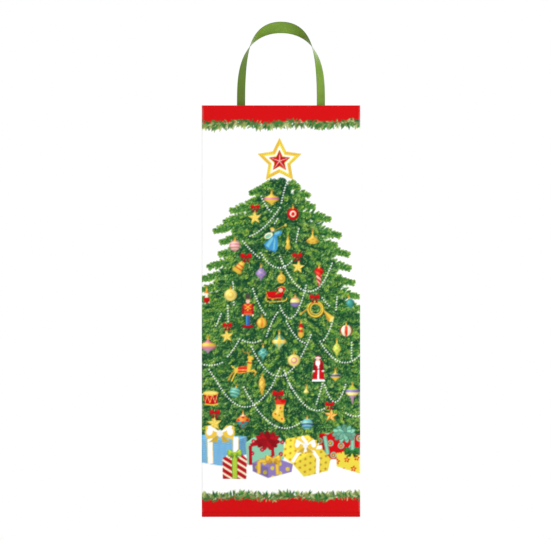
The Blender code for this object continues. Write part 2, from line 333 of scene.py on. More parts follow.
@dataclass
class FirTree:
    """The fir tree: a dark heart and fuzzy boughs, laid from the lowest to the highest."""

    apex: float = 274.0
    foot: float = 60.0
    flare: float = 6.6
    tier: float = 8.4
    spacing: float = 3.5
    share_high: float = 0.60
    share_low: float = 0.86
    row: float = 2.1
    scatter: float = 1.8
    fleck_dots: int = 3
    fan: Triple = (-58, 58, 0)
    left_tips: tuple[Point, ...] = (
        (-12, 266), (-23, 260), (-25, 252), (-38, 246), (-43, 237),
        (-51, 230), (-46, 221), (-47, 211), (-56, 201), (-61, 191),
    )
    right_tips: tuple[Point, ...] = (
        (13, 265), (21, 258), (25, 249), (21, 242), (37, 239), (45, 226),
        (42, 218), (52, 211), (53, 200), (56, 188), (60, 177), (63, 167),
    )

    def tips(self, side: int) -> list[Point]:
        """The boughs' tips on one side: the ones listed, then out to half the flare's width.

        Below those listed, the reach is the flare times the square root of the depth under
        the apex, and swings in and out a little.
        """
        listed = list(self.left_tips if side < 0 else self.right_tips)
        level = listed[-1][1] - self.tier
        while level > self.foot:
            swing = 1.0 - 0.05 * math.cos(level * 0.9)
            listed.append((side * self.flare * math.sqrt(self.apex - level) * swing, level))
            level -= self.tier
        return listed

    def edge(self, v: Array | float, side: int) -> Array:
        """How far the tree's closed inside reaches on one side at a height."""
        u, levels = np.array(self.tips(side)[::-1]).T
        levels = np.concatenate([levels, [self.apex]])
        share = np.interp(levels[:-1], (160.0, 262.0), (self.share_low, self.share_high))
        reach = np.concatenate([np.abs(u) * share, [0.0]])
        return np.interp(v, levels, reach)

    def heart(self, sheet: PrintSheet, chance: np.random.Generator) -> None:
        """Washes the inside of the tree with mixed deep greens."""
        rows, columns, u, v = sheet.window((-TILE / 2, self.foot - 5), (TILE / 2 - 0.3, self.apex))
        rough = 2.0 * np.sin(u * 0.9 + v * 0.3) + 2.0 * np.sin(v * 0.8 - u * 0.2)
        mask = np.where(u < 0, -u < self.edge(v, -1) - 1 + rough, u < self.edge(v, 1) - 1 + rough)
        mask &= v > self.foot - 1 + rough
        cloud = np.sin(u * 0.41 + 2.0 * np.sin(v * 0.17)) * np.sin(v * 0.37 + 1.7 * np.sin(u * 0.23))
        grain = chance.normal(0.0, 0.3, mask.shape)
        share = np.clip(0.4 + 0.5 * cloud + grain, 0.0, 1.0)[..., None]
        sheet.lay(rows, columns, mask, Ink.DEEP.rgb * (1 - share) + Ink.PINE.rgb * share)

    def draw(self, sheet: PrintSheet, chance: np.random.Generator) -> None:
        """Draws the whole tree."""
        self.heart(sheet, chance)
        palettes = (
            (Ink.DEEP, Ink.DEEP, Ink.PINE),
            (Ink.DEEP, Ink.PINE, Ink.LEAF),
            (Ink.DEEP, Ink.GREEN, Ink.FRESH),
            (Ink.BROWN, Ink.LEAF, Ink.LIME),
        )
        odds = (0.30, 0.26, 0.26, 0.18)
        tips = sorted(self.tips(-1) + self.tips(1), key=lambda tip: tip[1])
        level = self.foot + 3.0
        while level < self.apex - 1.0:
            while tips and tips[0][1] < level:
                self.bough(sheet, chance, np.array(tips.pop(0), float))
            left, right = float(self.edge(level, -1)), float(self.edge(level, 1))
            count = max(1, int((left + right) / self.spacing))
            scatter = chance.uniform(-self.scatter, self.scatter, count)
            for place in np.linspace(-left, right, count) + scatter:
                out = min(1.0, abs(place) / (right + 1.0))
                side = math.copysign(1.0, place)
                way = (side * (0.25 + out), -0.6 + 0.9 * out + chance.normal(0.0, 0.4))
                angle = math.degrees(math.atan2(way[1], way[0])) + chance.normal(0.0, 20.0)
                inks = palettes[chance.choice(len(palettes), p=odds)]
                start = (place, level + chance.uniform(-self.scatter, self.scatter))
                FirSprig(chance.uniform(3.4, 6.6)).draw(sheet, start, angle, inks)
            level += self.row
        self.speckle(sheet, chance)

    def speckle(self, sheet: PrintSheet, chance: np.random.Generator) -> None:
        """Breaks the greens up with square light and dark flecks, a few dots wide."""
        wide = self.fleck_dots
        coarse = chance.normal(0.0, 1.0, (sheet.ROWS // wide + 1, sheet.COLUMNS // wide + 1))
        fleck = np.repeat(np.repeat(coarse, wide, axis=0), wide, axis=1)
        fleck = fleck[: sheet.ROWS, : sheet.COLUMNS, None]
        red, green, blue = np.split(sheet.ink, 3, axis=2)
        leafy = (green - blue > 0.05) & (red < green + 0.01)
        ink = sheet.ink + 0.7 * np.clip(fleck - 0.9, 0.0, 1.0) * (Ink.FRESH.rgb - sheet.ink)
        ink = ink + 0.8 * np.clip(-fleck - 0.1, 0.0, 1.0) * (Ink.DEEP.rgb - ink)
        sheet.ink = np.where(leafy, ink, sheet.ink)

    def bough(self, sheet: PrintSheet, chance: np.random.Generator, tip: Array) -> None:
        """Draws one bough: a stem from the tree's inside to the tip, with sprigs fanned along it.

        Args:
            sheet: The print it goes on.
            chance: The source of random draws.
            tip: Where the bough ends.
        """
        root = np.array([tip[0] * 0.5, tip[1] + 0.12 * abs(tip[0])])
        run = tip - root
        reach = float(np.hypot(*run))
        outward = math.degrees(math.atan2(run[1], run[0]))
        sheet.stroke(root, tip, (1.4, 0.5), (Ink.BROWN.rgb, Ink.GREEN.rgb))
        size = 0.55 + 0.45 * min(1.0, reach / 22.0)
        steps = max(8, round(reach / 2.6))
        for share in np.linspace(0.0, 1.0, steps):
            long = size * (6.6 - 3.6 * share)
            for turn in self.fan:
                angle = outward + turn * (1 - 0.4 * share) + chance.normal(0.0, 9.0)
                under = FirSprig(long, size * 1.9, width=0.55)
                under.draw(sheet, root + run * share, angle, (Ink.PINE, Ink.PINE, Ink.LEAF))
                over = FirSprig(0.9 * long, size * 1.5, 5)
                light = (Ink.GREEN, Ink.GREEN, Ink.LIME) if share > 0.3 else (Ink.DEEP, Ink.PINE, Ink.LEAF)
                over.draw(sheet, root + run * share, angle + 6.0, light)


@dataclass
class Garland:
    """A run of leafy twigs along the edge of a red band."""

    line: float
    rising: bool
    spacing: float = 2.6
    slim: float = 0.15

    def stem(self, u: Array | float) -> Array | float:
        """The height of the stem, which sways along the band."""
        return self.line + 0.9 * np.sin(u * 2 * math.pi * 5 / TILE)

    def leaf(self, sheet: PrintSheet, foot: Point, angle: float, length: float, ink: Ink) -> None:
        """Draws one slim pointed leaf with a lighter rib.

        Args:
            sheet: The print it goes on.
            foot: Where it grows from.
            angle: The way it points, in degrees from the +u direction.
            length: Its length, in mm.
            ink: Its ink.
        """
        wide, narrow = self.slim, self.slim * 0.8
        shape = np.array([(0, 0), (0.3, wide), (0.62, narrow), (1, 0), (0.62, -narrow), (0.3, -wide)])
        sheet.polygon(turned(shape * length, angle) + foot, ink.rgb)
        end = turned(np.array([[0.85 * length, 0.0]]), angle)[0] + foot
        sheet.stroke(foot, end, (0.35, 0.2), (ink.rgb * 1.2, ink.rgb * 1.35))

    def draw(self, sheet: PrintSheet, chance: np.random.Generator) -> None:
        """Draws leaves on both sides of a swaying stem, light tufts and a few berries."""
        sign = 1.0 if self.rising else -1.0
        greens = (Ink.MOSS, Ink.OLIVE, Ink.SAGE, Ink.MOSS, Ink.GREEN, Ink.PINE)
        count = round(TILE / self.spacing)
        for number in range(count):
            u = -TILE / 2 + number * TILE / count
            base = float(self.stem(u))
            lean = 48.0 * math.sin(u * 2 * math.pi * 7 / TILE)
            for turn in (-66.0, -34.0, 0.0, 30.0, 64.0):
                angle = sign * (90.0 + lean + turn + chance.normal(0.0, 8.0))
                foot = (u + chance.uniform(-1.0, 1.0), base + chance.uniform(-0.8, 0.8))
                self.leaf(sheet, foot, angle, chance.uniform(3.4, 7.2), greens[chance.integers(len(greens))])
            for _ in range(2):
                angle = -sign * (90.0 + chance.uniform(-75.0, 75.0))
                length = chance.uniform(2.2, 4.0)
                self.leaf(sheet, (u, base), angle, length, greens[chance.integers(len(greens))])
            if number % 2:
                tuft = FirSprig(4.2, 2.2, 4, 40.0, 0.4)
                tuft.draw(sheet, (u, base), sign * (90.0 + lean), (Ink.OLIVE, Ink.OLIVE, Ink.FRESH))
            if number % 5 == 2:
                sheet.ellipse((u, base + sign * 0.6), (0.5, 0.5), Ink.CRIMSON.rgb)


class Shape(Enum):
    """Outlines of turned baubles: half-widths at even heights, from the lowest to the cap."""

    BALL = tuple(round(math.sqrt(1 - (k / 8 - 1) ** 2), 3) for k in range(17))
    ONION = (0.30, 0.80, 1.00, 0.92, 0.62, 0.32, 0.16, 0.10, 0.10)
    TOP = (0.05, 0.22, 0.55, 0.92, 1.00, 0.88, 0.36, 0.14, 0.10)
    DROP = (0.04, 0.28, 0.55, 0.80, 0.98, 0.98, 0.70, 0.30, 0.12)
    GOURD = (0.30, 0.85, 1.00, 0.75, 0.45, 0.62, 0.70, 0.40, 0.15)
    CONE = (0.10, 0.36, 0.58, 0.76, 0.90, 1.00, 0.96, 0.70, 0.25)
    FINIAL = (0.05, 0.12, 0.20, 0.30, 0.75, 1.00, 0.90, 0.45, 0.15)
    KITE = (0.04, 0.12, 0.36, 0.68, 1.00, 0.84, 0.56, 0.22, 0.10)
    ICICLE = (0.05, 0.30, 0.42, 0.52, 0.60, 0.50, 1.00, 0.90, 0.30)
    BELL = (1.00, 0.98, 0.80, 0.66, 0.60, 0.56, 0.50, 0.40, 0.12)


class Pattern(Enum):
    """What is painted on a bauble over its bands."""

    PLAIN = "plain"
    HOOPS = "hoops"
    RIBS = "ribs"
    SWIRL = "swirl"
    LATTICE = "lattice"
    TARGET = "target"
    DOTS = "dots"


@dataclass(frozen=True)
class Bauble:
    """A turned glass bauble in bands of colour, painted with a pattern and hung by a gold cap.

    bands lists (height where the band ends, from 0 to 1, and its ink), from the lowest up, or is
    one ink for the whole body.
    """

    place: Point
    size: Point
    shape: Shape
    bands: Ink | tuple[tuple[float, Ink], ...]
    pattern: Pattern = Pattern.PLAIN
    paint: Ink = Ink.GOLD
    tilt: float = 0.0

    def painted(self, x: Array, h: Array) -> Array:
        """Finds where the pattern's paint lies.

        Args:
            x: Places across the body, from -1 to 1.
            h: Heights on the body, from 0 to 1.

        Returns:
            The mask of the painted places.
        """
        round_x = np.arcsin(np.clip(x, -1, 1))
        aspect = self.size[0] / self.size[1]
        away = np.hypot(x * aspect, 2 * h - 1)
        masks = {
            Pattern.PLAIN: np.zeros(h.shape, bool),
            Pattern.HOOPS: np.sin(h * 22 + 1.5 * x**2) > 0.1,
            Pattern.RIBS: np.cos(round_x * 5) > 0.25,
            Pattern.SWIRL: np.sin(h * 26 + round_x * 2.6) > 0.0,
            Pattern.LATTICE: (np.abs(np.sin(h * 11 + round_x * 2)) < 0.32)
            | (np.abs(np.sin(h * 11 - round_x * 2)) < 0.32),
            Pattern.TARGET: (away < 0.52) & (away > 0.30),
            Pattern.DOTS: np.sin(h * 19) * np.cos(round_x * 4.5) > 0.45,
        }
        return masks[self.pattern]

    def draw(self, sheet: PrintSheet) -> None:
        """Paints its body, light on one side and dark on the other, then its cap and loop."""
        wide, high = self.size
        rows, columns, u, v = sheet.around(self.place, max(self.size) / 2 + 0.5)
        x, y = turned_axes(u, v, self.place, self.tilt)
        h = y / high + 0.5
        profile = np.array(self.shape.value)
        half = wide / 2 * np.interp(h, np.linspace(0, 1, len(profile)), profile)
        x = x / np.maximum(half, 1e-6)
        inside = (np.abs(x) <= 1.0) & (h >= 0.0) & (h <= 1.0)
        ink = np.zeros(inside.shape + (3,))
        bands = ((1.0, self.bands),) if isinstance(self.bands, Ink) else self.bands
        for end, band in reversed(bands):
            ink = np.where((h < end)[..., None], band.rgb, ink)
        ink = np.where((self.painted(x, h) & inside)[..., None], self.paint.rgb, ink)
        glow = np.exp(-((x + 0.35) ** 2 + ((h - 0.62) * 2.4) ** 2) / 0.22)
        shade = 1.0 - 0.16 * np.clip(x, 0, 1) ** 2 - 0.22 * np.abs(x) ** 6 - 0.08 * (1 - h)
        ink = ink * shade[..., None] + 0.18 * glow[..., None]
        sheet.lay(rows, columns, inside, ink)
        a = math.radians(self.tilt)
        self.hang(sheet, np.array([-math.sin(a), math.cos(a)]) * high / 2)

    def hang(self, sheet: PrintSheet, up: Array) -> None:
        """Draws the gold cap and its wire loop at the top."""
        top = np.array(self.place) + up
        way = up / np.linalg.norm(up)
        sheet.stroke(top - way * 0.3, top + way * 0.9, (1.5, 1.2), (Ink.GOLD.rgb, Ink.OCHRE.rgb))
        sheet.ring(top + way * 1.7, 0.7, 0.45, Ink.OCHRE.rgb)


@dataclass(frozen=True)
class Star:
    """A five-pointed star with ten facets, light and dark by turns."""

    place: Point
    radius: float
    light: Ink = Ink.BUTTER
    dark: Ink = Ink.GOLD
    waist: float = 0.42
    tilt: float = 0.0

    def corners(self, share: float = 1.0) -> Array:
        """Its ten corners, at its radius and at its waist by turns, on its size times share."""
        angle = np.radians(90 + self.tilt + 36 * np.arange(10))
        reach = self.radius * share * np.where(np.arange(10) % 2 == 0, 1.0, self.waist)
        return np.array(self.place) + np.column_stack([np.cos(angle), np.sin(angle)]) * reach[:, None]

    def draw(self, sheet: PrintSheet) -> None:
        """Paints an edge, then each facet as a triangle to the middle."""
        sheet.polygon(self.corners(1.04), self.dark.rgb * 0.94)
        rim = self.corners(0.96)
        for number in range(10):
            ink = self.light if number % 2 else self.dark
            sheet.polygon([self.place, rim[number], rim[(number + 1) % 10]], ink.rgb)


@dataclass(frozen=True)
class Bow:
    """A tied ribbon bow: two tails, two loops with a fold in each, and a knot."""

    place: Point
    size: float
    ink: Ink = Ink.CRIMSON
    light: Ink = Ink.RED
    drop: float = 0.55

    def draw(self, sheet: PrintSheet) -> None:
        """Paints the bow."""
        u, v = self.place
        s = self.size / 2
        for side in (-1, 1):
            tail = [
                (u, v),
                (u + side * 0.75 * s, v - self.drop * 2 * s),
                (u + side * 0.45 * s, v - self.drop * 1.9 * s),
                (u + side * 0.2 * s, v - self.drop * 2.1 * s),
            ]
            sheet.polygon(tail, self.ink.rgb * 0.85)
            loop = [
                (u, v + 0.05 * s),
                (u + side * 0.45 * s, v + 0.55 * s),
                (u + side * 0.95 * s, v + 0.50 * s),
                (u + side * s, v),
                (u + side * 0.85 * s, v - 0.40 * s),
                (u + side * 0.40 * s, v - 0.30 * s),
            ]
            sheet.polygon(loop, self.ink.rgb)
            sheet.ellipse((u + side * 0.68 * s, v + 0.12 * s), (0.2 * s, 0.26 * s), self.light.rgb, 15 * side)
            shine = ((u + side * 0.12 * s, v + 0.1 * s), (u + side * 0.7 * s, v + 0.42 * s))
            sheet.stroke(*shine, (0.12 * s, 0.22 * s), (self.light.rgb, self.light.rgb * 1.15))
        sheet.ellipse(self.place, (0.2 * s, 0.24 * s), self.light.rgb * 0.95)


@dataclass(frozen=True)
class Patch:
    """One flat-painted part of a figure: an outline in mm about the figure's middle."""

    ink: Ink
    outline: tuple[Point, ...]
    tone: float = 1.0


@dataclass(frozen=True)
class Spot:
    """One oval part of a figure, in mm about the figure's middle."""

    ink: Ink
    centre: Point
    radii: Point
    tilt: float = 0.0
    tone: float = 1.0


@dataclass(frozen=True)
class Pen:
    """A line of a figure, in mm about the figure's middle."""

    ink: Ink
    points: tuple[Point, ...]
    width: float = 0.6
    tone: float = 1.0


@dataclass(frozen=True)
class Hoop:
    """A round tube of a figure, in mm about the figure's middle."""

    ink: Ink
    centre: Point
    radius: float
    width: float = 1.0
    tone: float = 1.0


@dataclass(frozen=True)
class Figure:
    """A cut-out tree decoration, painted part by part."""

    place: Point
    parts: tuple[Patch | Spot | Pen | Hoop, ...]
    tilt: float = 0.0

    def put(self, points: Sequence[Point]) -> Array:
        """Puts the figure's own points on the sheet."""
        return np.array(self.place) + turned(np.array(points, float), self.tilt)

    def draw(self, sheet: PrintSheet) -> None:
        """Paints the parts in order."""
        for part in self.parts:
            ink = part.ink.rgb * part.tone
            if isinstance(part, Patch):
                sheet.polygon(self.put(part.outline), ink)
            elif isinstance(part, Spot):
                sheet.ellipse(self.put([part.centre])[0], part.radii, ink, part.tilt + self.tilt)
            elif isinstance(part, Hoop):
                sheet.ring(self.put([part.centre])[0], part.radius, part.width, ink)
            else:
                sheet.line(self.put(part.points), part.width, ink)


TOY_SOLDIER = (
    Spot(Ink.CRIMSON, (0, -13.4), (4.4, 1.3), tone=0.8),
    Spot(Ink.CRIMSON, (0, -12.8), (4.2, 1.1)),
    Patch(Ink.NAVY, ((-1.8, -12.4), (1.8, -12.4), (1.7, -3.4), (-1.7, -3.4))),
    Patch(Ink.BLUE, ((-1.5, -12), (-0.4, -12), (-0.3, -3.6), (-1.4, -3.6))),
    Patch(Ink.CRIMSON, ((-4.7, -3.4), (-3.3, -4.0), (-2.7, 4.6), (-4.1, 4.4))),
    Patch(Ink.CRIMSON, ((4.7, -3.4), (3.3, -4.0), (2.7, 4.6), (4.1, 4.4))),
    Patch(Ink.SCARLET, ((-3.2, -3.9), (3.2, -3.9), (3.4, 5.0), (-3.4, 5.0))),
    Pen(Ink.GOLD, ((-2.6, 4.4), (2.4, 0.4)), 0.7),
    Pen(Ink.GOLD, ((2.6, 4.4), (-2.4, 0.4)), 0.7),
    Pen(Ink.BLACK, ((-3.2, 0.0), (3.2, 0.0)), 0.8),
    Pen(Ink.GOLD, ((-3.2, -3.6), (3.2, -3.6)), 0.5),
    Spot(Ink.GOLD, (0, 0), (0.8, 0.7)),
    Spot(Ink.CREAM, (-4.1, -4.4), (0.8, 0.8)),
    Spot(Ink.CREAM, (4.1, -4.4), (0.8, 0.8)),
    Spot(Ink.BLUSH, (0, 7.0), (1.6, 1.9)),
    Patch(Ink.BLACK, ((-2.0, 8.2), (2.0, 8.2), (1.7, 13.0), (-1.7, 13.0)), tone=1.9),
    Pen(Ink.GOLD, ((-2.0, 8.5), (2.0, 8.5)), 0.5),
)
ROBED_FIGURE = (
    Patch(Ink.CRIMSON, ((-4.9, -9.4), (4.9, -9.4), (3.7, 5.2), (1.6, 7.2), (-2.2, 7.0), (-3.6, 4.6))),
    Patch(Ink.RED, ((-3.6, -9.0), (-1.2, -9.0), (-0.9, 4.6), (-2.4, 4.2))),
    Patch(Ink.RED, ((1.4, -9.0), (3.6, -9.0), (2.8, 4.0), (1.2, 4.6))),
    Patch(Ink.CRIMSON, ((-4.5, -1.4), (-3.0, -2.4), (-1.2, 2.8), (-3.0, 4.8)), tone=0.8),
    Patch(Ink.CRIMSON, ((4.5, -1.0), (2.8, -2.2), (1.4, 2.6), (3.2, 4.6)), tone=0.8),
    Patch(Ink.WHITE, ((-0.8, -9.4), (0.8, -9.4), (0.6, 3.4), (-0.6, 3.4))),
    Patch(Ink.WHITE, ((-5.2, -10.4), (5.2, -10.4), (5.0, -8.6), (-5.0, -8.6))),
    Pen(Ink.BLACK, ((-2.6, -0.6), (2.6, -0.6)), 0.7),
    Spot(Ink.WHITE, (-3.8, -2.2), (1.0, 0.7)),
    Spot(Ink.WHITE, (3.7, -1.9), (1.0, 0.7)),
    Patch(Ink.CRIMSON, ((-2.8, 6.4), (-2.2, 9.6), (0.2, 10.8), (1.8, 9.0), (1.9, 6.6))),
    Spot(Ink.WHITE, (-0.5, 4.6), (1.9, 2.7)),
    Spot(Ink.BLUSH, (-0.5, 7.3), (1.4, 1.5)),
    Pen(Ink.WHITE, ((-2.3, 8.5), (-0.4, 9.1), (1.4, 8.4)), 0.9),
)
ANGEL = (
    Spot(Ink.CREAM, (-3.4, 3.6), (3.6, 2.3), 24),
    Spot(Ink.MINT, (-3.6, 3.2), (2.6, 1.4), 24),
    Patch(
        Ink.BLUE,
        (
            (-7.2, -3.6), (-5.6, -6.6), (-2.4, -8.2), (1.8, -10.0),
            (4.0, -6.4), (4.3, -1), (3, 3.4), (-0.6, 3.2),
        ),
    ),
    Patch(Ink.AQUA, ((-5.6, -4.4), (-3.4, -6.2), (0.4, 0.6), (0.4, 2.6), (-1.4, 1.4))),
    Patch(Ink.AQUA, ((0.0, -7.6), (1.4, -8.2), (2.2, -1), (1.4, 2.4))),
    Pen(Ink.NAVY, ((-6.9, -3.9), (-2.4, -7.9), (1.7, -9.6)), 0.5),
    Spot(Ink.BLUE, (4.0, 5.2), (3.6, 2.0), 24),
    Spot(Ink.AQUA, (3.6, 5.6), (2.4, 1.0), 24),
    Spot(Ink.BLUSH, (-0.2, 8.2), (1.4, 1.6)),
    Spot(Ink.GOLD, (-0.6, 9.2), (1.5, 1.1)),
    Pen(Ink.OCHRE, ((1.4, 7.6), (10.6, 12.2)), 0.6),
    Patch(Ink.GOLD, ((8.8, 11.0), (11.4, 11.2), (10.2, 13.4))),
)
SLEIGH = (
    Pen(Ink.GOLD, ((-9, -1.8), (-8.2, -4.2), (-6, -5.2), (5.4, -5.4), (7.6, -4.4), (8, -3)), 0.8),
    Pen(Ink.OCHRE, ((-4, -5), (-4.2, -2.4)), 0.6),
    Pen(Ink.OCHRE, ((3.6, -5.2), (3.4, -2.6)), 0.6),
    Patch(
        Ink.RED,
        (
            (-8.6, 3.2), (-7.4, 3.6), (-6.2, 0.8), (-1.4, 0.2), (0.8, 2.2),
            (1.6, 5.6), (4.6, 6.8), (7.6, 5.6), (6.6, 3),
        ),
    ),
    Patch(
        Ink.RED,
        (
            (-8.6, 3.2), (-7.8, -1.8), (-4.6, -3.0), (3.6, -3.2),
            (5.4, 0.4), (6.6, 3), (-1.4, 0.2), (-6.2, 0.8),
        ),
    ),
    Patch(Ink.CRIMSON, ((-6.6, -1.6), (2.8, -2.4), (3.8, -0.6), (-6.4, -0.4))),
    Spot(Ink.BLUSH, (3.6, 3.6), (1.7, 1.7)),
    Pen(Ink.GOLD, ((-8.4, 3.4), (-7.2, -1.4), (-4.2, -2.6), (3.4, -2.8)), 0.5),
    Pen(Ink.GOLD, ((1.7, 5.6), (4.6, 6.6), (7.4, 5.4)), 0.6),
)
REINDEER = (
    Pen(Ink.OCHRE, ((-6.4, -2), (-9.4, -5), (-12.2, -10)), 1.2),
    Pen(Ink.GOLD, ((-5.4, -2.4), (-7.6, -6.6), (-9.4, -10.6)), 1.2),
    Pen(Ink.OCHRE, ((4.6, -2.6), (10.4, -3.2), (8.8, -6)), 1.1),
    Pen(Ink.GOLD, ((4.0, -3.0), (8.6, -1.6), (9.8, -3.6)), 1.1),
    Spot(Ink.GOLD, (-1.2, -1.6), (6.4, 2.8), 6),
    Patch(Ink.GOLD, ((2.6, -1), (5.6, -2), (7.0, 3.4), (6.6, 7.4), (3.6, 6.8), (3.4, 2.6))),
    Patch(Ink.SCARLET, ((-4.6, -3.8), (2.6, -3.6), (3.2, 1.2), (-4.2, 0.8))),
    Pen(Ink.BUTTER, ((-4.4, -2), (2.8, -1.6)), 0.5),
    Spot(Ink.GOLD, (5.8, 8.0), (2.7, 1.4), -18),
    Spot(Ink.OCHRE, (8.0, 7.3), (0.7, 0.6)),
    Pen(Ink.OCHRE, ((4.6, 9), (3.0, 13.2)), 0.6),
    Pen(Ink.OCHRE, ((3.8, 11), (6.2, 13.6)), 0.6),
    Pen(Ink.OCHRE, ((3.4, 12), (0.4, 12.6), (-0.6, 15)), 0.6),
    Pen(Ink.GOLD, ((-7, -0.4), (-9.6, 1.6)), 1.0),
    Pen(Ink.CRIMSON, ((3.6, 4.2), (6.8, 3.6)), 0.8),
)
DRUM = (
    Patch(Ink.CRIMSON, ((-5.2, -4.4), (4.8, -5.2), (5.6, 3.0), (-5.8, 3.6))),
    Patch(Ink.RED, ((-4.2, -4.2), (0.4, -4.6), (0.8, 3.2), (-4.6, 3.4))),
    Pen(Ink.BUTTER, ((-5.2, -3.4), (-3.2, 2.6), (-1.2, -3.8), (1.0, 2.4), (3.0, -4.0), (5.0, 2.2)), 0.5),
    Pen(Ink.GOLD, ((-5.4, -4.6), (0, -5.6), (5.0, -5.3)), 1.1),
    Spot(Ink.GOLD, (-0.2, 3.8), (6.2, 1.9), -3),
    Spot(Ink.BUTTER, (-0.2, 4.1), (5.4, 1.3), -3),
)
STOCKING = (
    Patch(
        Ink.GOLD,
        (
            (-2.3, 4.6), (4.3, 4.4), (3.4, -1.6), (3.8, -5.2), (5.0, -9.0),
            (2.8, -10.6), (-0.6, -9.0), (-4.8, -6.2), (-5.6, -3.2), (-2.8, 0.6),
        ),
    ),
    Patch(Ink.BUTTER, ((-1.4, 4.0), (1.2, 4.0), (-0.6, -3.0), (-3.8, -3.6), (-1.6, 0.6))),
    Spot(Ink.SCARLET, (-2.8, -3.4), (0.8, 0.7)),
    Spot(Ink.SCARLET, (1.2, 1.4), (0.7, 0.7)),
    Spot(Ink.LEAF, (0.2, -4.6), (0.7, 0.7)),
    Spot(Ink.SCARLET, (2.4, -7.4), (0.8, 0.7)),
    Spot(Ink.LEAF, (2.2, -1.6), (0.6, 0.6)),
    Patch(Ink.SCARLET, ((-3.0, 4.2), (5.0, 4.0), (5.4, 8.0), (-2.6, 8.4))),
    Spot(Ink.RED, (3.4, 7.0), (2.2, 1.6)),
)
HUNTING_HORN = (
    Hoop(Ink.BROWN, (0.2, -0.3), 5.9, 1.9),
    Hoop(Ink.OCHRE, (0, 0), 5.9, 1.6),
    Hoop(Ink.LEMON, (-0.1, 0.2), 6.0, 0.7),
    Hoop(Ink.GOLD, (0.2, 0.2), 4.3, 0.9),
    Patch(Ink.OCHRE, ((5.4, 1.0), (6.6, -1.2), (15.2, -6.2), (12.0, -10.4), (9.8, -9.0))),
    Patch(Ink.GOLD, ((6.0, 0.0), (14.4, -6.4), (12.2, -9.0))),
    Spot(Ink.BUTTER, (13.2, -8.0), (2.6, 1.2), 52),
    Pen(Ink.OCHRE, ((-5.6, 1.0), (-9.0, -1.6), (-11.6, -3.6)), 1.1),
    Spot(Ink.GOLD, (-11.8, -3.8), (1.0, 0.8)),
)


class Motif(Enum):
    """What is printed on a present's wrapping."""

    SPECKLES = "speckles"
    STRIPES = "stripes"
    DOTS = "dots"
    RINGS = "rings"
    FLOWERS = "flowers"


@dataclass(frozen=True)
class Wrapping:
    """Wrapping paper: a ground, a motif repeated at a pitch, and the motif's centre."""

    ground: Ink
    motif: Motif
    ink: Ink
    centre: Ink
    pitch: float = 6.0
    size: float = 1.3
    lean: float = 20.0

    def ink_at(self, u: Array, v: Array, tone: float) -> Array:
        """The paper's ink at places on the sheet, on a face of some tone.

        Args:
            u: Places round the bag, in mm.
            v: Heights, in mm.
            tone: The face's brightness.

        Returns:
            Inks with one more axis than the spread of u and v.
        """
        x, y = turned_axes(u, v, (0.0, 0.0), self.lean)
        x, y = x / self.pitch, y / self.pitch
        if self.motif is not Motif.STRIPES:
            x = x + 0.5 * (np.floor(y) % 2)
        dx, dy = (x - np.floor(x) - 0.5) * self.pitch, (y - np.floor(y) - 0.5) * self.pitch
        away, turn = np.hypot(dx, dy), np.arctan2(dy, dx)
        speck = np.abs(np.sin(u * 12.9 + v * 7.3) * np.sin(v * 9.1 - u * 4.7))
        marks = {
            Motif.SPECKLES: speck > 0.62,
            Motif.STRIPES: (x - np.floor(x)) < self.size / self.pitch,
            Motif.DOTS: away < self.size,
            Motif.RINGS: np.abs(away - self.size) < 0.55,
            Motif.FLOWERS: away < self.size * (0.78 + 0.3 * np.cos(5 * turn)),
        }
        paper = np.broadcast_to(self.ground.rgb, speck.shape + (3,))
        paper = np.where(marks[self.motif][..., None], self.ink.rgb, paper)
        if self.motif in (Motif.DOTS, Motif.RINGS, Motif.FLOWERS):
            paper = np.where((away < 0.45 * self.size)[..., None], self.centre.rgb, paper)
        return paper * tone


@dataclass(frozen=True)
class Face:
    """One side of a present that shows, with its brightness."""

    outline: tuple[Point, ...]
    tone: float = 1.0


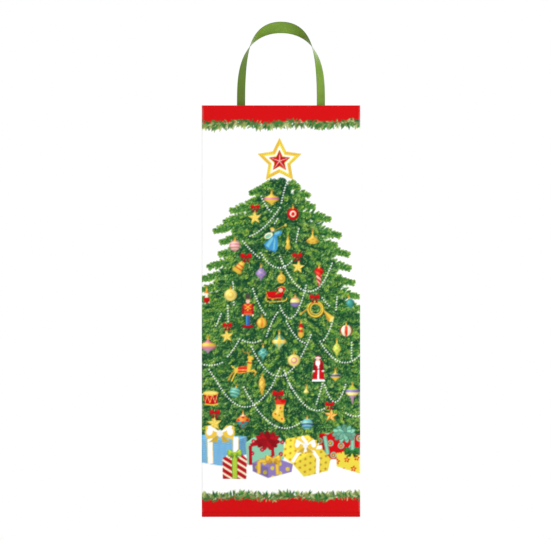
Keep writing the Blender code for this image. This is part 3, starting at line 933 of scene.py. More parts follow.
@dataclass(frozen=True)
class Present:
    """A wrapped box: its faces, its ribbons and the bow on top."""

    wrapping: Wrapping
    faces: tuple[Face, ...]
    ribbons: tuple[tuple[Point, ...], ...]
    ribbon: Ink
    ribbon_width: float
    edge: Ink
    bow: Point
    bow_size: float
    rosette: bool = False

    def draw(self, sheet: PrintSheet) -> None:
        """Paints the faces, the ribbons with a dark edge under each, and the bow."""
        for face in self.faces:
            self.cover(sheet, face)
        for points in self.ribbons:
            self.strap(sheet, points, self.ribbon_width + 0.7, self.edge.rgb)
            self.strap(sheet, points, self.ribbon_width - 0.3, self.ribbon.rgb)
        if self.rosette:
            self.draw_rosette(sheet)
        else:
            Bow(self.bow, self.bow_size, self.edge, self.ribbon, 0.3).draw(sheet)

    def cover(self, sheet: PrintSheet, face: Face) -> None:
        """Papers one face, inside its outline only."""
        rows, columns, u, v, mask = sheet.inside(face.outline)
        sheet.lay(rows, columns, mask, self.wrapping.ink_at(u, v, face.tone))

    def strap(self, sheet: PrintSheet, points: tuple[Point, ...], width: float, ink: Array) -> None:
        """Lays a flat ribbon with square ends along points.

        Args:
            sheet: The print it goes on.
            points: The ribbon's middle line.
            width: Its width, in mm.
            ink: Its ink.
        """
        for start, end in zip(points, points[1:]):
            run = np.array(end, float) - start
            side = np.array([-run[1], run[0]]) / np.hypot(*run) * width / 2
            sheet.polygon([start + side, start - side, end - side, end + side], ink)

    def draw_rosette(self, sheet: PrintSheet) -> None:
        """Paints a full bow of many loops, set round in two rings."""
        for ring, count in ((1.0, 11), (0.55, 7)):
            for number in range(count):
                a = 2 * math.pi * number / count + ring
                reach = self.bow_size / 2 * ring * 0.62
                across, up = math.cos(a) * reach * 1.25, math.sin(a) * reach * 0.85
                middle = (self.bow[0] + across, self.bow[1] + up)
                radii = (self.bow_size * 0.17, self.bow_size * 0.09)
                turn = math.degrees(a)
                sheet.ellipse(middle, (radii[0] + 0.35, radii[1] + 0.35), self.edge.rgb * 0.8, turn)
                tone = 0.9 + 0.16 * math.sin(3 * a)
                sheet.ellipse(middle, radii, self.ribbon.rgb * tone, turn)


@dataclass(frozen=True)
class Swag:
    """A string of pearls between two boughs. It sags by a parabola under the straight line."""

    start: Point
    end: Point
    sag: float
    pitch: float = 2.1
    pearl: float = 0.62

    def draw(self, sheet: PrintSheet) -> None:
        """Sets pearls at even steps along the string."""
        share = np.linspace(0.0, 1.0, 200)
        u = self.start[0] + (self.end[0] - self.start[0]) * share
        v = self.start[1] + (self.end[1] - self.start[1]) * share - self.sag * 4 * share * (1 - share)
        length = distance_along(np.column_stack([u, v]))
        for step in np.arange(0.0, length[-1], self.pitch):
            place = (np.interp(step, length, u), np.interp(step, length, v))
            sheet.ellipse(place, (self.pearl, self.pearl), Ink.WHITE.rgb)


# Each pearl string: where it starts, where it ends and how far it sags
STRINGS = (
    ((4.4, 268), (-0.1, 250), -1.0),
    ((-15.8, 257), (-7.7, 245), 2.0),
    ((-1, 248), (-26.2, 224.8), 4.0),
    ((-2.8, 239), (-6.4, 234), 0.4),
    ((14.3, 231), (12, 219.8), -1.2),
    ((-30.7, 221.2), (-16.3, 207.2), 1.0),
    ((-16.3, 211.7), (8.9, 205.4), 8.5),
    ((-1, 209), (29.6, 183.4), 12.0),
    ((29.6, 183.4), (41.3, 204.5), 3.0),
    ((-38.8, 188.3), (-37.9, 170), -6.0),
    ((-22.6, 182.9), (-11.8, 161.3), 2.5),
    ((-1, 169.4), (20.6, 187.4), 18.0),
    ((-2.8, 164), (-11.8, 144.3), -2.0),
    ((4.4, 156.8), (20.6, 139.3), 4.0),
    ((-30.7, 141.6), (-16.3, 141.6), 1.8),
    ((-33.4, 142.5), (-43.3, 128), 1.0),
    ((24.1, 146), (-24.4, 138), 29.0),
    ((31.4, 140.7), (63.5, 130), 11.0),
    ((41.3, 156.8), (34.1, 141.6), 2.0),
    ((-1, 119), (-8.2, 103), 0.0),
    ((2.6, 117.3), (8.9, 102), 1.0),
    ((-50.4, 106.7), (-6.4, 106.7), 18.5),
    ((-29.8, 104), (17.9, 77.5), 17.0),
    ((7.1, 106.7), (34.9, 86.9), 8.5),
    ((33.2, 106.7), (27.8, 88.7), 0.5),
    ((35, 105.8), (52, 106.7), 14.0),
    ((52, 83.3), (63.5, 81.5), 1.5),
    ((-42.8, 169.4), (-42.4, 156.8), 0.0),
    ((-52.2, 153.2), (-47.7, 164), 0.5),
    ((-63.5, 122.7), (-46, 124.5), 2.0),
    ((-57.6, 118), (-50.5, 106.8), 0.0),
    ((56.6, 139.8), (56.6, 126.3), 0.0),
    ((44.9, 176.6), (44, 165.8), 0.5),
    ((33.2, 175.7), (39.5, 168.5), 0.5),
    ((63.5, 130), (84, 116), 7.0),
    ((63.5, 81.5), (92, 84), 8.0),
    ((-63.5, 122.7), (-84, 112), 6.0),
    ((-92, 88), (-62, 100), 9.0),
)
SWAGS = tuple(Swag(*string) for string in STRINGS)

ROUND = Shape.BALL
BAUBLES = (
    Bauble((-7.6, 255.2), (12.6, 10.4), Shape.TOP, ((0.42, Ink.GOLD), (0.60, Ink.PINK), (1.0, Ink.GOLD))),
    Bauble((9.6, 243), (9.4, 10.0), ROUND, Ink.RED, Pattern.TARGET, Ink.CREAM),
    Bauble((5.6, 219), (4.8, 9.2), Shape.GOURD, Ink.GOLD),
    Bauble((25.4, 223.5), (10.4, 9.6), Shape.ONION, Ink.GOLD, Pattern.DOTS, Ink.OCHRE),
    Bauble((-37, 217.6), (8.8, 8.8), ROUND, Ink.BLUSH, Pattern.HOOPS, Ink.PINK),
    Bauble(
        (-33, 200.6), (9.6, 10.8), Shape.BELL,
        ((0.30, Ink.GOLD), (0.38, Ink.SCARLET), (0.55, Ink.GOLD), (0.64, Ink.SCARLET), (1.0, Ink.GOLD)),
        tilt=-34.0,
    ),
    Bauble((-16, 195), (9.4, 12.0), Shape.KITE, Ink.VIOLET, Pattern.LATTICE, Ink.MAUVE),
    Bauble((0.3, 191), (7.0, 7.6), ROUND, Ink.GOLD, Pattern.TARGET, Ink.OCHRE),
    Bauble(
        (30.5, 192.6), (7.8, 15.4), Shape.ICICLE,
        ((0.58, Ink.BLUSH), (1.0, Ink.SCARLET)),
        Pattern.SWIRL, Ink.RED,
    ),
    Bauble((-59.6, 177), (5.0, 11.0), Shape.GOURD, ((0.40, Ink.RED), (0.70, Ink.CREAM), (1.0, Ink.ORANGE))),
    Bauble((-40.4, 178), (10.4, 9.8), ROUND, Ink.BUTTER, Pattern.TARGET, Ink.GOLD),
    Bauble((11.3, 172.4), (8.0, 8.4), ROUND, ((0.45, Ink.VIOLET), (0.80, Ink.BUTTER), (1.0, Ink.PINK))),
    Bauble((55.5, 171.4), (7.0, 9.0), Shape.DROP, Ink.TEAL, tilt=14.0),
    Bauble((-15.4, 155.6), (8.4, 8.6), ROUND, Ink.GOLD, Pattern.RIBS, Ink.ORANGE),
    Bauble(
        (-1.4, 140.4), (12.4, 14.0), Shape.KITE,
        ((0.40, Ink.MINT), (0.62, Ink.BUTTER), (1.0, Ink.TEAL)),
        Pattern.RIBS, Ink.GOLD,
    ),
    Bauble(
        (16, 149.8), (5.2, 12.4), Shape.GOURD,
        ((0.35, Ink.GOLD), (0.55, Ink.SCARLET), (0.66, Ink.GOLD), (1.0, Ink.RED)),
    ),
    Bauble((52.3, 149.4), (9.8, 9.4), ROUND, Ink.CREAM, Pattern.RIBS, Ink.SCARLET),
    Bauble(
        (-58.6, 137.2), (14.0, 12.0), Shape.TOP,
        ((0.30, Ink.MAUVE), (0.46, Ink.PINK), (0.70, Ink.GOLD), (1.0, Ink.PINK)),
    ),
    Bauble((-14.4, 131), (8.8, 11.6), Shape.KITE, Ink.TEAL, Pattern.LATTICE, Ink.MINT),
    Bauble((10.4, 125.6), (10.4, 9.8), ROUND, Ink.BUTTER, Pattern.TARGET, Ink.PINK),
    Bauble((44.8, 134.4), (7.6, 13.0), Shape.KITE, Ink.LIME, Pattern.LATTICE, Ink.BUTTER),
    Bauble((43.6, 113), (8.8, 8.4), Shape.TOP, ((0.45, Ink.GOLD), (0.66, Ink.NAVY), (1.0, Ink.GOLD))),
    Bauble((-15.2, 105), (5.6, 15.0), Shape.CONE, Ink.GOLD, Pattern.LATTICE, Ink.OCHRE),
    Bauble((-37, 100), (9.0, 8.8), ROUND, Ink.MINT, Pattern.HOOPS, Ink.TEAL, tilt=-14.0),
    Bauble((20.2, 99.6), (4.8, 8.4), Shape.KITE, ((0.5, Ink.LEAF), (1.0, Ink.BUTTER))),
    Bauble(
        (57.2, 98), (11.6, 15.0), Shape.FINIAL,
        ((0.48, Ink.MAUVE), (0.62, Ink.BUTTER), (0.76, Ink.VIOLET), (1.0, Ink.LIME)),
    ),
    Bauble(
        (-30.5, 76.6), (11.2, 13.0), Shape.DROP,
        ((0.50, Ink.TEAL), (0.82, Ink.ORANGE), (1.0, Ink.CREAM)),
        Pattern.DOTS, Ink.RED,
    ),
    Bauble(
        (21, 74.6), (9.4, 9.0), ROUND,
        ((0.34, Ink.BLUE), (0.62, Ink.NAVY), (1.0, Ink.AQUA)),
        Pattern.HOOPS, Ink.MINT,
    ),
    Bauble((74, 152), (8.6, 9.0), ROUND, Ink.GOLD, Pattern.DOTS, Ink.RED),
    Bauble(
        (82, 122), (9.4, 12.0), Shape.DROP,
        ((0.5, Ink.AQUA), (1.0, Ink.BLUE)),
        Pattern.HOOPS, Ink.CREAM,
    ),
    Bauble((76, 96), (8.8, 9.2), ROUND, Ink.PINK, Pattern.RIBS, Ink.CRIMSON),
    Bauble((-76, 150), (9.0, 9.0), ROUND, Ink.AQUA, Pattern.HOOPS, Ink.NAVY),
    Bauble((-84, 124), (6.0, 13.0), Shape.GOURD, ((0.5, Ink.GOLD), (1.0, Ink.SCARLET))),
    Bauble((-78, 92), (9.6, 9.6), ROUND, Ink.BUTTER, Pattern.LATTICE, Ink.ORANGE),
    Bauble((-95, 76), (8.0, 8.6), ROUND, Ink.RED, Pattern.TARGET, Ink.BUTTER),
    Bauble((93, 72), (8.4, 8.8), ROUND, Ink.VIOLET, Pattern.HOOPS, Ink.GOLD),
)
STARS = (
    Star((-21, 240), 5.6, tilt=6.0),
    Star((13.7, 200.4), 5.4, tilt=-6.0),
    Star((-43.4, 145), 5.4, tilt=8.0),
    Star((40, 81.4), 5.6, Ink.BUTTER, Ink.ORANGE, tilt=-4.0),
    Star((-53.5, 75), 6.2, tilt=4.0),
    Star((82, 141), 5.0, tilt=5.0),
    Star((-90, 104), 5.2, tilt=-5.0),
)
BOWS = (
    Bow((-20.8, 248.4), 7.4),
    Bow((-28, 209), 9.0),
    Bow((13, 209.6), 8.0),
    Bow((-43, 153.6), 7.8),
    Bow((-2.4, 98.8), 9.4),
    Bow((39, 90.2), 7.4),
    Bow((-53, 83.6), 8.4),
    Bow((82, 148.4), 7.4),
    Bow((-90, 112), 7.4),
    Bow((27, 176.2), 8.2),
)
FIGURES = (
    Figure((-6.6, 222), ANGEL),
    Figure((-26.6, 166), TOY_SOLDIER),
    Figure((-3.6, 178), SLEIGH, 4.0),
    Figure((27.6, 166.6), HUNTING_HORN),
    Figure((-30.2, 119.6), REINDEER),
    Figure((30, 119), ROBED_FIGURE),
    Figure((-56, 95.4), DRUM, 4.0),
    Figure((-1.6, 86), STOCKING),
)

PRESENTS = (
    Present(
        Wrapping(Ink.BLUE, Motif.SPECKLES, Ink.WHITE, Ink.WHITE),
        (
            Face(((-76, 62), (-33.4, 61.7), (-33.4, 49), (-47.8, 40.9), (-63.5, 43.6), (-76, 45.6))),
            Face(((-33.4, 61.7), (-27.4, 64.6), (-27.4, 50), (-33.4, 49)), 0.86),
            Face(((-76, 62), (-70, 66.4), (-27.4, 64.6), (-33.4, 61.7)), 1.15),
        ),
        (((-57, 65.4), (-56.6, 42.8)), ((-36.4, 64.2), (-36.2, 48.6))),
        Ink.WHITE, 4.2, Ink.GOLD, (-49, 67), 24.0,
    ),
    Present(
        Wrapping(Ink.MINT, Motif.DOTS, Ink.CRIMSON, Ink.PINK, 8.6, 1.7),
        (
            Face(((-28.4, 59.5), (2.4, 60.4), (2.4, 46), (-20.8, 42), (-27, 42))),
            Face(((-28.4, 59.5), (-22, 64), (-2, 64.4), (2.4, 60.4)), 1.1),
        ),
        (((-24.6, 57), (-24.4, 41.6)), ((-24.6, 57.6), (-16, 58.8)), ((-6.8, 57.6), (-6.4, 48.6))),
        Ink.CRIMSON, 1.8, Ink.CRIMSON, (-10.9, 61.2), 17.5, True,
    ),
    Present(
        Wrapping(Ink.RED, Motif.RINGS, Ink.MINT, Ink.LIME, 8.8, 2.0, -12.0),
        (
            Face(((30.6, 66.8), (42.2, 67.6), (76, 65), (76, 52), (44.4, 46.5), (36.8, 46.5), (30.4, 58))),
            Face(((30.6, 66.8), (34.6, 64.4), (36.8, 46.5), (30.4, 58)), 0.82),
        ),
        (((35, 64.8), (37.6, 50)), ((57.4, 66), (57.4, 52))),
        Ink.MINT, 2.6, Ink.TEAL, (50.6, 66.8), 17.0, True,
    ),
    Present(
        Wrapping(Ink.LEMON, Motif.FLOWERS, Ink.RED, Ink.GOLD, 8.0, 2.2, 10.0),
        (Face(((44.4, 51.2), (52, 53), (63.5, 49.2), (76, 46), (76, 33), (63.5, 34.6), (44.4, 40.6)), 0.96),),
        (),
        Ink.GREEN, 2.4, Ink.PINE, (57, 52.2), 13.0,
    ),
    Present(
        Wrapping(Ink.LEMON, Motif.FLOWERS, Ink.ORANGE, Ink.LEAF, 4.6, 1.25, 24.0),
        (
            Face(
                (
                    (4, 62.6), (21.5, 65.8), (26, 62.6), (39.9, 46.5),
                    (37.7, 37), (18.3, 32.2), (9.8, 42), (1.3, 49.1),
                ),
                1.04,
            ),
            Face(((26, 62.6), (39.9, 46.5), (37.7, 37), (18.3, 32.2), (9.8, 42), (24, 52)), 0.95),
        ),
        (((16.6, 64.6), (24, 55), (29.8, 47), (29.2, 35)), ((9.2, 44), (14, 51.6), (24, 55), (33, 56))),
        Ink.WHITE, 2.9, Ink.GOLD, (19.6, 57), 19.0,
    ),
    Present(
        Wrapping(Ink.CRIMSON, Motif.STRIPES, Ink.CREAM, Ink.CREAM, 4.4, 1.5, 58.0),
        (
            Face(((-47, 46.6), (-27.4, 46.6), (-27.8, 30.4), (-46.7, 30.4))),
            Face(((-47, 46.6), (-43, 49.8), (-30.6, 49.8), (-27.4, 46.6)), 1.1),
        ),
        (((-37.2, 50), (-37, 30.6)),),
        Ink.LIME, 3.6, Ink.LEAF, (-37.2, 50.6), 12.0,
    ),
    Present(
        Wrapping(Ink.VIOLET, Motif.DOTS, Ink.GOLD, Ink.LIME, 6.8, 1.6, 30.0),
        (
            Face(
                (
                    (-23, 43.3), (-15.4, 46.8), (-2.3, 46.8), (9.6, 42.4),
                    (8.5, 36.1), (-10.4, 31.2), (-22.6, 36.6),
                ),
            ),
            Face(((-23, 43.3), (-10.4, 39.6), (-10.4, 31.2), (-22.6, 36.6)), 0.84),
        ),
        (((-17.6, 45), (-17.8, 34.8)), ((-3.4, 45), (-2.6, 34.0)), ((-17.6, 45), (-3.4, 45))),
        Ink.GOLD, 2.4, Ink.OCHRE, (-6.4, 46), 13.0,
    ),
)


@dataclass
class ChristmasPrint:
    """The whole artwork: red bands, garlands, tree, pearls, decorations and presents."""

    low: Garland = field(default_factory=lambda: Garland(15.4, rising=True))
    high: Garland = field(default_factory=lambda: Garland(316.0, rising=False))
    star: Star = Star((-1.2, 285.4), 18.0, Ink.LEMON, Ink.GOLD, 0.50)
    seed: int = 24

    def bands(self, sheet: PrintSheet) -> None:
        """Prints the red band along the foot and the one along the mouth, up to their garlands."""
        rows, columns, u, v = sheet.window((-TILE / 2, 0.0), (TILE / 2 - 0.3, SHEET_HEIGHT))
        mask = (v < self.low.stem(u)) | (v > self.high.stem(u))
        sheet.lay(rows, columns, mask, Ink.RED.rgb)

    def topper(self, sheet: PrintSheet) -> None:
        """Prints the star on the tree's top: gold, then white, then red with white ribs."""
        self.star.draw(sheet)
        middle = self.star.place
        sheet.polygon(self.star.corners(0.70), Ink.WHITE.rgb)
        sheet.polygon(self.star.corners(0.53), Ink.LEMON.rgb)
        core = Star(middle, self.star.radius * 0.47, Ink.RED, Ink.CRIMSON, 0.46)
        core.draw(sheet)
        rim = self.star.corners(0.88)
        for start, end in zip(rim, np.roll(rim, -1, axis=0)):
            for share in np.linspace(0.0, 1.0, 7)[:-1]:
                sheet.ellipse(start + (end - start) * share, (0.42, 0.42), Ink.OCHRE.rgb)
        for tip in core.corners(0.86)[::2]:
            sheet.stroke(middle, tip, (0.7, 0.3), (Ink.BLUSH.rgb, Ink.WHITE.rgb))

    def make(self) -> PrintSheet:
        """Lays down everything from back to front.

        Returns:
            The finished sheet.
        """
        sheet = PrintSheet()
        chance = np.random.default_rng(self.seed)
        self.bands(sheet)
        self.topper(sheet)
        FirTree().draw(sheet, chance)
        for swag in SWAGS:
            swag.draw(sheet)
        for group in (BAUBLES, FIGURES, STARS, BOWS, PRESENTS):
            for item in group:
                item.draw(sheet)
            LOG.info("print: %d of %s", len(group), type(group[0]).__name__.lower())
        self.low.draw(sheet, chance)
        self.high.draw(sheet, chance)
        return sheet


class Nodes:
    """A small helper that adds nodes to a tree and links them."""

    def __init__(self, tree: bpy.types.NodeTree) -> None:
        """Works on one node tree."""
        self.tree = tree

    def add(self, kind: str, **settings: object) -> bpy.types.Node:
        """Adds a node of a kind, with its settings."""
        node = self.tree.nodes.new(kind)
        for name, value in settings.items():
            setattr(node, name, value)
        return node

    def feed(self, target: Socket, value: object) -> None:
        """Links a socket to another, or gives it a plain value."""
        if isinstance(value, Socket):
            self.tree.links.new(value, target)
        else:
            target.default_value = value

    def math(self, operation: str, *values: Input, clamp: bool = False) -> Socket:
        """Does one sum on numbers."""
        node = self.add("ShaderNodeMath", operation=operation, use_clamp=clamp)
        for socket, value in zip(node.inputs, values):
            self.feed(socket, value)
        return node.outputs[0]

    def mix(self, share: Input, a: object, b: object, blend: str = "MIX") -> Socket:
        """Mixes two colours, each a link or red, green and blue; they are sockets 6 and 7."""
        node = self.add("ShaderNodeMix", data_type="RGBA", blend_type=blend)
        self.feed(node.inputs["Factor"], share)
        for socket, value in ((node.inputs[6], a), (node.inputs[7], b)):
            self.feed(socket, (*value, 1.0) if isinstance(value, tuple) else value)
        return node.outputs[2]

    def noise(self, place: Socket, scale: Input, detail: float) -> Socket:
        """Reads cloudy noise at a place."""
        node = self.add("ShaderNodeTexNoise")
        for name, value in (("Vector", place), ("Scale", scale), ("Detail", detail)):
            self.feed(node.inputs[name], value)
        return node.outputs["Fac"]


def paper_tooth() -> bpy.types.ShaderNodeTree:
    """Builds the fibre and fine grain of paper and board once.

    Returns:
        A node group that takes a place and puts out a mottle, a grain and a height.
    """
    made = bpy.data.node_groups.get("paper_tooth")
    if made:
        return made
    cloud_scale, cloud_share, stretch = 60.0, 0.35, (1.0, 1.0, 0.35)
    made = bpy.data.node_groups.new("paper_tooth", "ShaderNodeTree")
    made.interface.new_socket("Place", in_out="INPUT", socket_type="NodeSocketVector")
    made.interface.new_socket("Grain size", in_out="INPUT", socket_type="NodeSocketFloat")
    for name in ("Mottle", "Grain", "Height"):
        made.interface.new_socket(name, in_out="OUTPUT", socket_type="NodeSocketFloat")
    nodes = Nodes(made)
    inputs = nodes.add("NodeGroupInput")
    outputs = nodes.add("NodeGroupOutput")
    place, size = inputs.outputs["Place"], inputs.outputs["Grain size"]
    stretched = nodes.add("ShaderNodeVectorMath", operation="MULTIPLY")
    nodes.feed(stretched.inputs[0], place)
    stretched.inputs[1].default_value = stretch
    cloud = nodes.noise(place, cloud_scale, 4.0)
    grain = nodes.noise(stretched.outputs[0], size, 2.0)
    height = nodes.math("ADD", nodes.math("MULTIPLY", cloud, cloud_share), grain)
    for name, value in (("Mottle", cloud), ("Grain", grain), ("Height", height)):
        nodes.feed(outputs.inputs[name], value)
    return made


@dataclass(frozen=True)
class Finish:
    """What every finish has: a name, a roughness and how much light it mirrors."""

    name: str
    roughness: float
    specular: float = 0.4

    def start(self) -> tuple[Material, Nodes, bpy.types.Node]:
        """Makes an empty material with a shader.

        Returns:
            The material, its node helper and its Principled shader.
        """
        made = bpy.data.materials.new(self.name)
        made.use_nodes = True
        shader = made.node_tree.nodes["Principled BSDF"]
        shader.inputs["Specular IOR Level"].default_value = self.specular
        shader.inputs["Roughness"].default_value = self.roughness
        return made, Nodes(made.node_tree), shader

    def tooth(self, nodes: Nodes, size: float) -> bpy.types.Node:
        """Places the paper's tooth, read in the piece's own coordinates."""
        place = nodes.add("ShaderNodeTexCoord").outputs["Object"]
        group = nodes.add("ShaderNodeGroup", node_tree=paper_tooth())
        nodes.feed(group.inputs["Place"], place)
        group.inputs["Grain size"].default_value = size
        return group

    def bump(self, nodes: Nodes, height: Input, strength: float, depth: float) -> Socket:
        """Turns a height into a normal."""
        node = nodes.add("ShaderNodeBump")
        node.inputs["Strength"].default_value = strength
        node.inputs["Distance"].default_value = depth
        nodes.feed(node.inputs["Height"], height)
        return node.outputs["Normal"]


@dataclass(frozen=True)
class PrintedLaminate(Finish):
    """Four-colour print under a thin satin laminate. The ink comes from the surface's own dots."""

    name: str = "printed_laminate"
    roughness: float = 0.42
    specular: float = 0.07
    worn: Colour = (0.80, 0.79, 0.77)
    grain: float = 2600.0
    gloss_spread: float = 0.14

    def make(self) -> Material:
        """Reads the print, adds a faint press mottle and lightens the ink along worn creases."""
        made, nodes, shader = self.start()
        ink = nodes.add("ShaderNodeAttribute", attribute_name="print").outputs["Color"]
        wear = nodes.add("ShaderNodeAttribute", attribute_name="crease").outputs["Fac"]
        tooth = self.tooth(nodes, self.grain)
        press = nodes.math("ADD", nodes.math("MULTIPLY", tooth.outputs["Mottle"], 0.05), 0.975)
        shaded = nodes.mix(1.0, ink, press, "MULTIPLY")
        patchy = nodes.math("SUBTRACT", tooth.outputs["Mottle"], 0.42, clamp=True)
        rubbed = nodes.math("MULTIPLY", wear, patchy, clamp=True)
        nodes.feed(shader.inputs["Base Color"], nodes.mix(rubbed, shaded, self.worn))
        least = self.roughness - self.gloss_spread / 2
        gloss = nodes.math("MULTIPLY_ADD", tooth.outputs["Grain"], self.gloss_spread, least)
        nodes.feed(shader.inputs["Roughness"], gloss)
        nodes.feed(shader.inputs["Normal"], self.bump(nodes, tooth.outputs["Height"], 0.12, 0.00004))
        return made


@dataclass(frozen=True)
class SolidRed(Finish):
    """Paper flooded with red ink, as on the turned-in hems and the bottom flaps."""

    name: str = "solid_red_paper"
    roughness: float = 0.45
    specular: float = 0.25
    deep: Colour = (0.58, 0.005, 0.007)
    bright: Colour = (0.70, 0.008, 0.010)

    def make(self) -> Material:
        """Mixes two reds by the press mottle."""
        made, nodes, shader = self.start()
        tooth = self.tooth(nodes, 2400.0)
        ink = nodes.mix(tooth.outputs["Mottle"], self.deep, self.bright)
        nodes.feed(shader.inputs["Base Color"], ink)
        nodes.feed(shader.inputs["Normal"], self.bump(nodes, tooth.outputs["Height"], 0.14, 0.00004))
        return made


@dataclass(frozen=True)
class RawSheet(Finish):
    """An uncoated sheet: the white back of the paper, or grey board with flecks of waste."""

    light: Colour = (0.84, 0.83, 0.80)
    dark: Colour = (0.76, 0.75, 0.72)
    fleck: Colour = (0.60, 0.58, 0.54)
    fleck_level: float = 0.72
    grain: float = 900.0
    relief: float = 0.00006

    def make(self) -> Material:
        """Mixes light and dark pulp by the mottle, and sets flecks where the grain is highest."""
        made, nodes, shader = self.start()
        tooth = self.tooth(nodes, self.grain)
        pulp = nodes.mix(tooth.outputs["Mottle"], self.dark, self.light)
        over = nodes.math("SUBTRACT", tooth.outputs["Grain"], self.fleck_level, clamp=True)
        spots = nodes.math("MULTIPLY", over, 9.0, clamp=True)
        nodes.feed(shader.inputs["Base Color"], nodes.mix(spots, pulp, self.fleck))
        nodes.feed(shader.inputs["Normal"], self.bump(nodes, tooth.outputs["Height"], 0.35, self.relief))
        return made


@dataclass(frozen=True)
class WovenRibbon(Finish):
    """Satin ribbon: fine weft ribs across it, warp lines along it and a firmer selvage."""

    name: str = "green_satin_ribbon"
    roughness: float = 0.40
    specular: float = 0.25
    body: Colour = (0.120, 0.225, 0.018)
    light: Colour = (0.215, 0.360, 0.045)
    selvage: Colour = (0.085, 0.170, 0.015)
    warps: float = 46.0
    wefts_per_metre: float = 2600.0
    selvage_from: float = 0.455
    sheen: Colour = (0.72, 0.85, 0.45)

    def make(self) -> Material:
        """Reads the ribbon's own map: u runs along it in metres and v across it from 0 to 1."""
        made, nodes, shader = self.start()
        place = nodes.add("ShaderNodeUVMap", uv_map="weave").outputs["UV"]
        split = nodes.add("ShaderNodeSeparateXYZ")
        nodes.feed(split.inputs[0], place)
        along, across = split.outputs["X"], split.outputs["Y"]
        turn = 2 * math.pi
        weft = nodes.math("SINE", nodes.math("MULTIPLY", along, turn * self.wefts_per_metre))
        warp = nodes.math("SINE", nodes.math("MULTIPLY", across, turn * self.warps))
        weave = nodes.math("ADD", nodes.math("MULTIPLY", weft, 0.5), nodes.math("MULTIPLY", warp, 0.3))
        cloud = nodes.noise(nodes.add("ShaderNodeTexCoord").outputs["Object"], 90.0, 3.0)
        tone = nodes.math("ADD", nodes.math("MULTIPLY", warp, 0.14), nodes.math("MULTIPLY", cloud, 0.9))
        silk = nodes.mix(nodes.math("SUBTRACT", tone, 0.1, clamp=True), self.body, self.light)
        edge = nodes.math("ABSOLUTE", nodes.math("SUBTRACT", across, 0.5))
        rim = nodes.math("GREATER_THAN", edge, self.selvage_from)
        nodes.feed(shader.inputs["Base Color"], nodes.mix(rim, silk, self.selvage))
        nodes.feed(shader.inputs["Normal"], self.bump(nodes, weave, 0.25, 0.00005))
        shader.inputs["Sheen Weight"].default_value = 0.10
        shader.inputs["Sheen Roughness"].default_value = 0.4
        shader.inputs["Sheen Tint"].default_value = (*self.sheen, 1.0)
        return made


@dataclass(frozen=True)
class PaleFloor(Finish):
    """The pale studio floor."""

    name: str = "pale_floor"
    roughness: float = 0.8
    specular: float = 0.2
    dark: Colour = (0.86, 0.86, 0.86)
    light: Colour = (0.90, 0.90, 0.90)

    def make(self) -> Material:
        """A plain pale paint with a faint cloud."""
        made, nodes, shader = self.start()
        cloud = nodes.noise(nodes.add("ShaderNodeTexCoord").outputs["Object"], 1.5, 2.0)
        paint = nodes.mix(cloud, self.dark, self.light)
        nodes.feed(shader.inputs["Base Color"], paint)
        return made


class Finishes:
    """The finishes, each made once."""

    def __init__(self) -> None:
        """Makes them all."""
        self.printed = PrintedLaminate().make()
        self.red = SolidRed().make()
        self.back = RawSheet("white_paper_back", 0.75, 0.2).make()
        self.board = RawSheet(
            "grey_board",
            0.9,
            0.15,
            light=(0.50, 0.46, 0.40),
            dark=(0.36, 0.33, 0.28),
            fleck=(0.20, 0.18, 0.15),
            fleck_level=0.66,
            grain=500.0,
            relief=0.00012,
        ).make()
        self.ribbon = WovenRibbon().make()


def make_mesh(name: str, points: Array, faces: Sequence[Array]) -> Piece:
    """Puts points and faces into an object at the origin.

    Args:
        name: The piece's name.
        points: Its points (n, 3), in metres.
        faces: Blocks of faces, each block with one number of corners.

    Returns:
        The linked object.
    """
    mesh = bpy.data.meshes.new(name)
    listed = [face for block in faces for face in block.tolist()]
    mesh.from_pydata(points.tolist(), [], listed)
    mesh.update()
    piece = bpy.data.objects.new(name, mesh)
    bpy.context.scene.collection.objects.link(piece)
    LOG.info("piece: %s, %d faces", name, len(mesh.polygons))
    return piece


def grid_faces(rows: int, columns: int, first: int = 0, closed: bool = False) -> Array:
    """Four-cornered faces over a grid of points kept row by row.

    Args:
        rows: How many rows of points.
        columns: How many points in a row.
        first: The number of the grid's first point.
        closed: Whether the last column joins the first.

    Returns:
        The faces' corners (n, 4), which turn anticlockwise where columns run right and rows up.
    """
    spans = columns if closed else columns - 1
    r, c = np.meshgrid(np.arange(rows - 1), np.arange(spans), indexing="ij")
    right = (c + 1) % columns
    corners = [r * columns + c, r * columns + right, (r + 1) * columns + right, (r + 1) * columns + c]
    return first + np.stack(corners, axis=-1).reshape(-1, 4)


